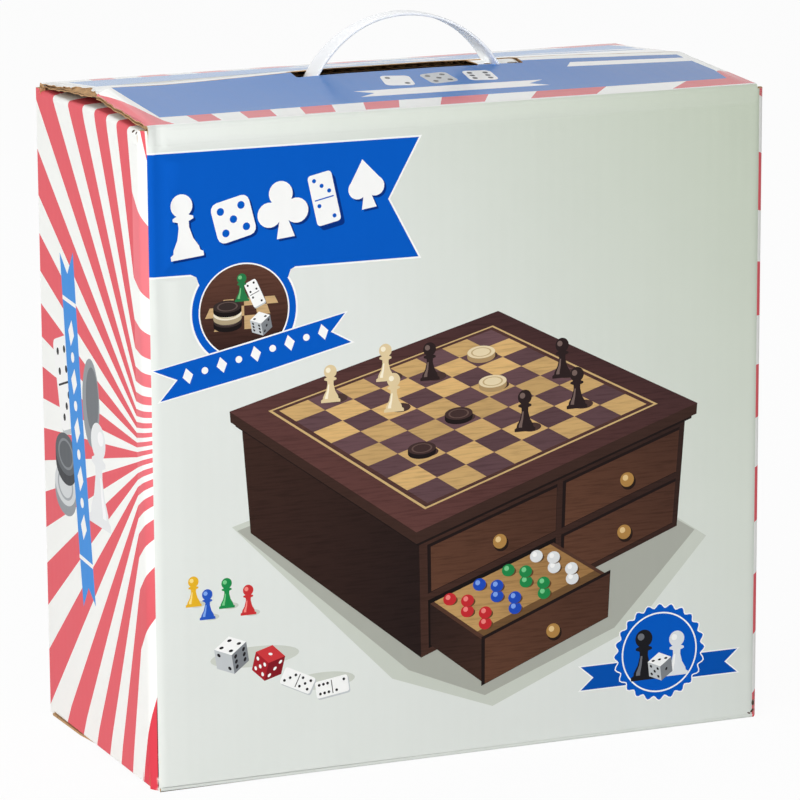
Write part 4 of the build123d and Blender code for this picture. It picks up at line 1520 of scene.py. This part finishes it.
class GAMESCARTON_OT_lid(bpy.types.Operator):
    """Builds the two outer flaps of the lid from liners and a wavy medium, with their folds"""

    bl_idname = "gamescarton.lid"
    bl_label = "Lid flaps"

    def execute(self, context):
        sizes, colours = settings()
        liner = sizes.liner / MM
        materials = board_materials("printed_lid")
        kraft = [materials[1], materials[1], materials[2]]
        for lid, pivot in (
            (Lid("front", FRONT, "front_lid", "top_front_flap"), FRONT_Y),
            (Lid("back", BACK, "back_lid", "top_back_flap"), BACK_Y),
        ):
            top = lid.fold.corner
            art = lid_art(colours, top, lid.wall == BACK)
            # the pale ground on the lid's fold, with the same painted shade in its fade
            art.append(field_with_painted_shade(colours, -166, FIELD_RIGHT + 9, -40, top + 0.6, TOP_CUT))
            wear = rubbed(top - 0.4, 1.5, 0.56)
            low, high = lid.ends()
            strip = oblong(low, high, 0, lid.split)
            rows = lid.fold.rows([0.7, 1.6, 3.4], [0.7, 1.6, 3.0])
            joins = (0.0, lid.split)
            fold = printed_sheet(
                f"{lid.name}_fold", strip, art, lid.place, lid.creased,
                lid.knots(), rows, LID_PITCH, wear, materials, joins,
            )
            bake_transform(fold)

            torn = []
            if lid.wall == BACK:
                shares = lid.split + (lid.seam - lid.split) * TORN[:, 0]
                torn = list(zip(high - TORN[:, 1], shares))
            start = lid.split - OVERLAP
            outer = printed_sheet(
                f"{lid.name}_liner", lid_outline(lid, start, 8.25, torn), art, lid.place, liner,
                lid.knots(), (), LID_PITCH, wear, materials, (start,),
            )
            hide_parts(lid.cad)
            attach(outer, lid.body)

            inner = printed_sheet(
                f"{lid.name}_inner_liner", lid_outline(lid, start, lid.notch), [],
                lambda p, lid=lid: lid.place(p, 1.0), liner,
                lid.knots(), (), LID_PITCH, None, kraft,
            )
            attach(inner, lid.body)
            if lid.wall == BACK:
                self.tongue(lid, liner, colours, materials)

            medium = self.medium(lid, sizes.flute_pitch / MM, materials[2])
            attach(medium, lid.body)
        return {"FINISHED"}

    def tongue(self, lid, liner, colours, materials):
        """Loose paper of the back flap that closes the right end of the hand slot, with spots."""
        outline = [(-60.3, -8.6), (-37.2, -8.6), (-36.6, -3)]
        outline += [(-38.4, 1.5), (-37.8, 7.6), (-60.3, 7.9)]
        outline = np.array(outline) + (0, lid.seam)
        front = np.array([(-61, 3.4), (-36, 3.0), (-36, 9), (-61, 9)]) + (0, lid.seam)
        art = [Patch(front, lid_blue(colours))]
        for x, v, radius, flat, ink in (
            (-43.6, 2.6, 2.2, 0.5, (70, 56, 44)),
            (-50.0, 5.0, 3.6, 0.3, (52, 84, 168)),
            (-56.9, 2.8, 2.7, 0.45, (58, 46, 38)),
        ):
            art.append(Patch(disc(x, lid.seam + v, radius, 20, flat), ink))

        def place(p):
            """The flap carried on, pressed down by 0.5 mm, and by 2.4 mm more at its free edge."""
            where = lid.place(p)
            where[:, 2] -= 0.5 + 2.4 * smooth(p[:, 1], lid.seam - 6, lid.seam + 8)
            return where

        paper = printed_sheet(
            "slot_tongue", outline, art, place, liner, (), (), TONGUE_PITCH, None, materials
        )
        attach(paper, lid.body)

    def medium(self, lid, pitch, edge):
        """Wavy medium between the liners: its depth is a cosine of x with the flutes' pitch."""
        thick, liner = lid.thick, lid.liner
        low, high = lid.ends(0.35)
        x = np.linspace(low, high, int((high - low) / (pitch / 10)))
        slot, full = SLOT_HALF + 0.4, lid.seam - 0.25
        top, under = liner + 0.03, thick - liner - 0.25
        points, faces, base = [], [], 0
        for left, right, reach in (
            (low, -slot, full),
            (-slot, slot, lid.seam - (lid.notch + 0.4)),
            (slot, high, full),
        ):
            mine = x[(x >= left - 0.4) & (x <= right + 0.4)]
            q = np.linspace(lid.split + 0.3, reach, 7)
            gx, gq = np.meshgrid(mine, q)
            drop = (top + under) / 2 - (under - top) / 2 * np.cos(2 * np.pi * gx.ravel() / pitch)
            flat = np.column_stack([gx.ravel(), gq.ravel()])
            points.append(lid.place(flat, drop / (thick - liner)))
            faces.append(grid_faces(len(q), len(mine)) + base)
            base += len(flat)
        points, faces = np.concatenate(points), np.concatenate(faces)
        piece = new_piece(f"{lid.name}_flutes", points, faces, [edge])
        piece.data.uv_layers.new(name="sheet")
        solid = piece.modifiers.new("paper", "SOLIDIFY")
        solid.thickness = 0.22 * MM
        solid.offset = 0.0
        return piece


class GAMESCARTON_OT_inner_flaps(bpy.types.Operator):
    """Builds the two inner flaps under the lid, and the folds that carry the side walls over"""

    bl_idname = "gamescarton.inner_flaps"
    bl_label = "Inner lid flaps"

    def execute(self, context):
        sizes, colours = settings()
        thick = sizes.board / MM
        sleeve = make_sleeve()
        corner = DUST_HIGH[2]
        art_all = build_art(colours, sleeve)
        for name, wall, body, cad in (
            ("left", LEFT, "left_dust_flap", "top_left_dust_flap"),
            ("right", RIGHT, "right_dust_flap", "top_right_dust_flap"),
        ):
            fold = Fold(TOP_CUT, corner, 0.0, sizes.fold_radius / MM)
            low, high = sorted(sleeve.s_of(wall, y=y) for y in (-SIDE_HALF, SIDE_HALF))
            reach = fold.q_at(DUST_HIGH[0] - DUST_LOW[0])
            split = fold.q_at(7.5)

            def place(p, fold=fold, wall=wall):
                """Wall, fold and level flap, its fold lifted by up to 2.3 mm near its middle."""
                inward, height = fold.profile(p[:, 1])
                y = sleeve.line(wall, p[:, 0])[:, 1]
                pulled = 2.3 * np.exp(-(((y + 14) / 42) ** 2)) * (1 - smooth(inward, 8, 26))
                height = height + pulled * smooth(height, TOP_CUT, corner)
                base = sleeve.eased(wall, p[:, 0], smooth(p[:, 1], 0.5, fold.straight)[:, None])
                xy = base - sleeve.out(wall) * inward[:, None]
                return stretched(np.column_stack([xy, height]))

            near = [p for p in reaching(art_all, low, high) if p.fade is None]
            art = [moved_patch(p, (0, -TOP_CUT)) for p in near]
            bare = oblong(low - 9, high + 9, fold.q_at(16), reach + 9)
            art.append(Patch(bare, colours["paper"]))
            wear = rubbed(fold.corner - 1.5, 1.8, 0.6)
            strip = oblong(low, high, 0, split)
            rows = fold.rows([0.7, 1.6, 3.0], [0.7, 1.6, 3.0])
            piece = printed_sheet(
                f"{name}_side_fold", strip, art, place, creased(fold, thick),
                (), rows, LID_PITCH, wear, None, (0.0, split),
            )
            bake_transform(piece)
            start = split - OVERLAP
            cut = [(low, start), (high, start), (high, reach - 9)]
            cut += [(high - 7, reach), (low + 7, reach), (low, reach - 9)]
            flap = printed_sheet(
                f"{name}_inner_flap", cut, art, place, thick,
                (), (), FLAP_PITCH, wear, None, (start,),
            )
            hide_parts(cad)
            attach(flap, body)
        return {"FINISHED"}


class GAMESCARTON_OT_bottom(bpy.types.Operator):
    """Folds the four bottom flaps under the carton"""

    bl_idname = "gamescarton.bottom"
    bl_label = "Bottom flaps"

    def execute(self, context):
        sizes, colours = settings()
        thick = sizes.board / MM
        sleeve = make_sleeve()
        art_all = build_art(colours, sleeve)
        for name, wall, cad in (
            ("front", FRONT, "bottom_front_flap"),
            ("back", BACK, "bottom_back_flap"),
            ("left", LEFT, "bottom_left_dust_flap"),
            ("right", RIGHT, "bottom_right_dust_flap"),
        ):
            low_corner, high_corner = cad_mm(cad)
            outer = wall in (FRONT, BACK)
            foot = FRONT_FOOT if outer else SIDE_FOOT
            fold = Fold(foot, low_corner[2], 0.0, 1.5, -1.0)
            if outer:
                ends = [sleeve.s_of(wall, x=corner[0]) for corner in (low_corner, high_corner)]
            else:
                ends = [sleeve.s_of(wall, y=y) for y in (-SIDE_HALF, SIDE_HALF)]
            if wall == BACK:
                ends[0] -= 2.5
            low, high = min(ends), max(ends)
            run = (high_corner - low_corner)[1 if outer else 0]
            reach = fold.q_at(run - 0.3)

            def place(p, fold=fold, wall=wall):
                """Wall, fold and level flap; the side walls' folds hang 1.9 mm lower."""
                inward, height = fold.profile(-p[:, 1])
                base = sleeve.eased(wall, p[:, 0], smooth(-p[:, 1], 0.3, fold.straight)[:, None])
                if wall in (LEFT, RIGHT):
                    hang = 1.9 * smooth(-p[:, 1], 0.5, fold.straight)
                    height = height - hang * (1 - smooth(inward, 3, 18))
                xy = base - sleeve.out(wall) * inward[:, None]
                return stretched(np.column_stack([xy, height]))

            def deep(p, fold=fold, wall=wall):
                """The board's thickness, crushed to a third at the ends of the outer flaps."""
                full = creased(fold, thick, -1.0)(p)
                x = np.abs(sleeve.line(wall, p[:, 0])[:, 0])
                crush = smooth(x, 146, 154) * smooth(-p[:, 1], fold.straight, fold.end + 2)
                return full * (1 - 0.65 * crush) if wall in (FRONT, BACK) else full

            near = [p for p in reaching(art_all, low, high) if p.outline[:, 1].min() < foot + 2]
            art = [moved_patch(p, (0, -foot)) for p in near]
            bare = oblong(low - 9, high + 9, -fold.q_at(7), -reach - 9)
            art.append(Patch(bare, colours["paper"]))
            wear = rubbed(0.5 - fold.corner, 1.5, 0.12)
            cut = [(low, 0), (high, 0), (high, -fold.end)]
            if wall == BACK:
                cut += [(high + 3.8, -fold.end - 4), (high + 3.8, -reach * 0.6)]
                cut += [(high + 0.6, -reach), (low, -reach)]
            else:
                inset = 4.0 if outer else 0.0
                cut += [(high - inset * 0.4, -reach), (low + inset, -reach)]
                cut += [(low + inset, -fold.end - 4), (low, -fold.end)]
            bends, beyond = fold.knots, np.array([0.5, 1.5, 4, 8, 12])
            rows = -np.array([bends[0] - 0.35, *bends, *(bends[-1] + beyond)])
            piece = printed_sheet(
                f"{name}_bottom_flap", cut, art, place, deep,
                (), rows, WALL_PITCH, wear, None, (0.0,),
            )
            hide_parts(cad)
            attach(piece, "carton")
        return {"FINISHED"}


class GAMESCARTON_OT_handle(bpy.types.Operator):
    """Sweeps the moulded carry handle, arch and tabs in one"""

    bl_idname = "gamescarton.handle"
    bl_label = "Carry handle"

    def execute(self, context):
        sizes = context.scene.handle_sizes
        thick = sizes.thickness / MM
        radius = sizes.radius / MM - thick / 2
        crest = STRAP_HIGH[2] - thick / 2
        tab_z = STRAP_LOW[2] + thick / 2
        bend = 2.5
        centre_z = crest - radius
        lowest = np.arcsin((tab_z - centre_z + bend * 0.52) / radius)
        arch = radius * (np.pi / 2 - lowest)
        turn = np.pi / 2 - lowest
        curl = bend * turn
        # half of the centre line: heading is the running sum of curvature x step
        step = 0.05
        l = np.arange(0, arch + curl + 40, step) + step / 2
        curvature = np.where(l < arch, -1 / radius, np.where(l < arch + curl, 1 / bend, 0.0))
        heading = np.cumsum(curvature) * step
        x = np.concatenate([[0], np.cumsum(np.cos(heading)) * step])
        z = crest + np.concatenate([[0], np.cumsum(np.sin(heading)) * step])
        along = np.concatenate([[0], l + step / 2])
        end = np.interp(STRAP_HIGH[0], x, along)
        marks = ((0, arch - 2, 34), (arch - 2, arch + curl + 1, 14), (arch + curl + 1, end, 8))
        places = np.unique(np.concatenate([np.linspace(*mark) for mark in marks]))
        half = np.stack([np.interp(places, along, x), np.interp(places, along, z)], 1)
        slope = np.interp(places, l, heading)
        widen = smooth(places, 8, arch - 3)
        width = sizes.grip / MM + (sizes.foot - sizes.grip) / MM * widen
        at_tab = smooth(places, arch + curl - 1.2, arch + curl + 2.2)
        width = width + (sizes.tab / MM - width) * at_tab
        tip = 1 - 0.16 * smooth(places, end - 3.5, end) ** 2
        width = width * tip
        centre = np.concatenate([half[:0:-1] * (-1, 1), half])
        angle = np.concatenate([-slope[:0:-1], slope])
        width = np.concatenate([width[:0:-1], width])
        # section: a flat bar whose long edges swell into two beads
        a = np.linspace(0, 2 * np.pi, 40, endpoint=False)
        across = np.sign(np.cos(a)) * np.abs(np.cos(a)) ** 0.55
        through = np.sign(np.sin(a)) * np.abs(np.sin(a)) ** 0.55
        bead = 1 + 0.12 * smooth(np.abs(across), 0.70, 0.86)
        bead = np.where(np.abs(across) > 0.985, 1.0, bead)
        y_part = width[:, None] / 2 * across[None, :]
        t_part = thick / 2 * (through * bead)[None, :] * np.ones((len(width), 1))
        nx, nz = -np.sin(angle)[:, None], np.cos(angle)[:, None]
        seam_y = (STRAP_LOW[1] + STRAP_HIGH[1]) / 2
        # the strap is a little twisted: its width turns by 4.5 degrees for each 50 mm outwards
        twist = np.radians(4.5) * centre[:, :1] / 50
        points = np.stack(
            [
                centre[:, :1] - 1.4 + nx * t_part - np.sin(twist) * y_part,
                seam_y + np.cos(twist) * y_part,
                centre[:, 1:] + nz * t_part,
            ],
            -1,
        )
        rows, columns = points.shape[:2]
        vertices = points.reshape(-1, 3)
        faces = grid_faces(rows, columns, True)[:, ::-1].tolist()
        ring = list(range(columns))
        faces += [ring, [(rows - 1) * columns + j for j in reversed(ring)]]
        milky = linear((243, 245, 247))
        # the strap's clear share of 0.4 also gives it a faint painted glow
        plastic = material("handle_plastic", plastic_finish, milky, 0.5, 0.4, 0.00001)
        strap = new_piece("carry_strap", vertices, faces, [plastic])
        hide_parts("carry_handle")
        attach(strap, "handle")
        return {"FINISHED"}


class GAMESCARTON_OT_cabinet(bpy.types.Operator):
    """Gives the cabinet's wood and the playing pieces their finishes"""

    bl_idname = "gamescarton.cabinet"
    bl_label = "Cabinet finishes"

    def execute(self, context):
        c = context.scene.cabinet_colours
        stain, veneer, core = np.array(c.stain), np.array(c.veneer), np.array(c.core)
        light, dark, ivory, black = (np.array(v) for v in (c.light, c.dark, c.ivory, c.black))
        x, z = (1, 0, 0), (0, 0, 1)
        woods = {
            "stain_x": (wood_finish, stain, {"along": x, "rough": 0.36, "coat": 0.4}),
            "stain_z": (wood_finish, stain, {"along": z, "rough": 0.36, "coat": 0.4}),
            "veneer_x": (wood_finish, veneer, {"along": x, "rough": 0.4, "coat": 0.35}),
            "core_x": (wood_finish, core, {"along": x, "rough": 0.62, "coat": 0.0}),
            "core_z": (wood_finish, core, {"along": z, "rough": 0.62, "coat": 0.0}),
            "maple": (wood_finish, light, {"along": z, "contrast": 0.22, "coat": 0.4, "fine": 1.4}),
            "walnut": (wood_finish, dark, {"along": z, "contrast": 0.35, "coat": 0.4, "fine": 1.4}),
            "light_men": (wood_finish, light, {"along": x, "contrast": 0.2, "fine": 2.5}),
            "dark_men": (wood_finish, black, {"along": x, "contrast": 0.3, "fine": 2.5}),
            "ivory": (plastic_finish, ivory, {"rough": 0.26}),
            "cards": (card_finish, linear((238, 236, 228)), {}),
        }
        finishes = {k: material(k, make, rgb, **more) for k, (make, rgb, more) in woods.items()}
        of_node = {
            "stain_z": [
                "cabinet_left_side", "cabinet_right_side", "cabinet_back",
                "lower_runners", "upper_runners",
            ],
            "stain_x": [
                "top_frame", "drawer_rail", "board_rail", "top_rail",
                "drawer_left_side", "drawer_right_side", "drawer_back", "drawer_dividers",
                "lower_board", "upper_board",
            ],
            "veneer_x": ["drawer_front"],
            "core_x": ["drawer_floor"],
            "core_z": ["board_core", "cabinet_floor"],
            "maple": ["light_squares", "board_stringing"],
            "walnut": ["dark_squares"],
            "light_men": ["light_draughts", "light_chessmen"],
            "dark_men": ["dark_draughts", "dark_chessmen"],
            "ivory": ["dominoes", "dice"],
            "cards": ["card_packs"],
        }
        for key, nodes in of_node.items():
            for node in nodes:
                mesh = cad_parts[node].data
                mesh.materials.clear()
                mesh.materials.append(finishes[key])
        return {"FINISHED"}


# the camera's sensor in millimetres, and its focal length and frame in pixels
SENSOR, FOCAL_PIXELS, FRAME_PIXELS = 36.0, 5056, 800


class GAMESCARTON_OT_stage(bpy.types.Operator):
    """Sets the camera, the pale floor and the soft studio light"""

    bl_idname = "gamescarton.stage"
    bl_label = "Stage"

    def execute(self, context):
        scene = context.scene
        azimuth, elevation, roll = np.radians([-23.01, 11.94, -0.52])
        distance, target = 2.531, np.array([0.001, 0.0, 0.1631])
        back, right = view_axes(azimuth, elevation)
        up = np.cross(back, right)
        right, up = (
            np.cos(roll) * right + np.sin(roll) * up,
            -np.sin(roll) * right + np.cos(roll) * up,
        )
        camera = bpy.data.cameras.new("camera")
        camera.sensor_width = SENSOR
        camera.lens = SENSOR * FOCAL_PIXELS / FRAME_PIXELS
        camera.clip_start, camera.clip_end = 0.1, 60.0
        eye = bpy.data.objects.new("camera", camera)
        turn = Matrix(np.column_stack([right, up, back]).tolist()).to_4x4()
        eye.matrix_world = Matrix.Translation(Vector(target + back * distance)) @ turn
        scene.collection.objects.link(eye)
        scene.camera = eye

        side = 14.0
        floor_points = np.array([(-1, -1, 0), (1, -1, 0), (1, 1, 0), (-1, 1, 0)]) * side / 2 / MM
        floor_points[:, 2] = -0.3
        floor = new_piece("floor", floor_points, [(0, 1, 2, 3)], [self.floor_finish()], False)

        self.lamp("key", (-1.75, -1.35, 0.95), 30.0, 1.3)
        self.lamp("fill", (0.1, -2.8, 1.2), 16.0, 2.4)
        self.lamp("top", (-0.3, 1.0, 2.2), 15.0, 2.4)
        world = scene.world or bpy.data.worlds.new("world")
        scene.world = world
        world.use_nodes = True
        sky = Nodes(world.node_tree)
        dim = sky.tree.nodes["Background"]
        sky.put(dim.inputs["Color"], (0.98, 0.99, 1.0))
        sky.put(dim.inputs["Strength"], 0.3)
        dim = Value(sky, dim.outputs[0])
        plain = sky.node("ShaderNodeBackground", None, {"Color": (1, 1, 1), "Strength": 1.0})
        mixed = sky.node("ShaderNodeMixShader", None, {0: sky.seen(), 1: dim, 2: plain.out()})
        sky.put(sky.tree.nodes["World Output"].inputs["Surface"], mixed.out())
        scene.view_settings.view_transform = "Standard"
        return {"FINISHED"}

    def lamp(self, name, place, power, size):
        """Square area lamp that faces the middle of the carton."""
        light = bpy.data.lights.new(name, "AREA")
        light.energy, light.size = power, size
        lamp = bpy.data.objects.new(name, light)
        lamp.location = place
        lamp.rotation_mode = "QUATERNION"
        lamp.rotation_quaternion = (Vector((0, 0, 0.16)) - Vector(place)).to_track_quat("-Z", "Y")
        bpy.context.scene.collection.objects.link(lamp)

    def floor_finish(self):
        """Pale floor that keeps a faint shadow and is white to the camera."""
        f = Finish("floor")
        f.set(Base_Color=(0.9, 0.9, 0.9), Roughness=0.9)
        glow = f.node("ShaderNodeEmission", None, {"Color": (1, 1, 1), "Strength": 1.0})
        matt = Value(f, f.shader.outputs[0])
        mixed = f.node("ShaderNodeMixShader", None, {0: f.seen() * 0.95, 1: matt, 2: glow.out()})
        f.put(f.tree.nodes["Material Output"].inputs["Surface"], mixed.out())
        return f.material


class GAMESCARTON_PT_panel(bpy.types.Panel):
    """Lists the pieces in the order they are built"""

    bl_idname = "GAMESCARTON_PT_panel"
    bl_label = "Games carton"
    bl_space_type = "VIEW_3D"
    bl_region_type = "UI"
    bl_category = "Games carton"

    def draw(self, context):
        """One box for each property group, then a button for each step."""
        for group in ("carton_sizes", "handle_sizes", "carton_colours", "cabinet_colours"):
            box = self.layout.box()
            settings_group = getattr(context.scene, group)
            for name in settings_group.__annotations__:
                box.prop(settings_group, name)
        for step in STEPS:
            self.layout.operator(step.bl_idname)


GROUPS = {
    "carton_sizes": CartonSizes,
    "handle_sizes": HandleSizes,
    "carton_colours": PrintColours,
    "cabinet_colours": CabinetColours,
}
STEPS = [
    GAMESCARTON_OT_stage,
    GAMESCARTON_OT_walls,
    GAMESCARTON_OT_lid,
    GAMESCARTON_OT_inner_flaps,
    GAMESCARTON_OT_bottom,
    GAMESCARTON_OT_handle,
    GAMESCARTON_OT_cabinet,
]


def register():
    """Puts the property groups, the operators and the panel in place."""
    for group in GROUPS.values():
        bpy.utils.register_class(group)
    for name, group in GROUPS.items():
        setattr(bpy.types.Scene, name, bpy.props.PointerProperty(type=group))
    for step in STEPS:
        bpy.utils.register_class(step)
    bpy.utils.register_class(GAMESCARTON_PT_panel)


def unregister():
    """Takes them away again, last first."""
    bpy.utils.unregister_class(GAMESCARTON_PT_panel)
    for step in reversed(STEPS):
        bpy.utils.unregister_class(step)
    for name, group in reversed(GROUPS.items()):
        delattr(bpy.types.Scene, name)
        bpy.utils.unregister_class(group)


def main():
    """Builds the carton with its operators."""
    register()
    for step in STEPS:
        family, name = step.bl_idname.split(".")
        getattr(getattr(bpy.ops, family), name)()


if __name__ == "__main__":
    main()
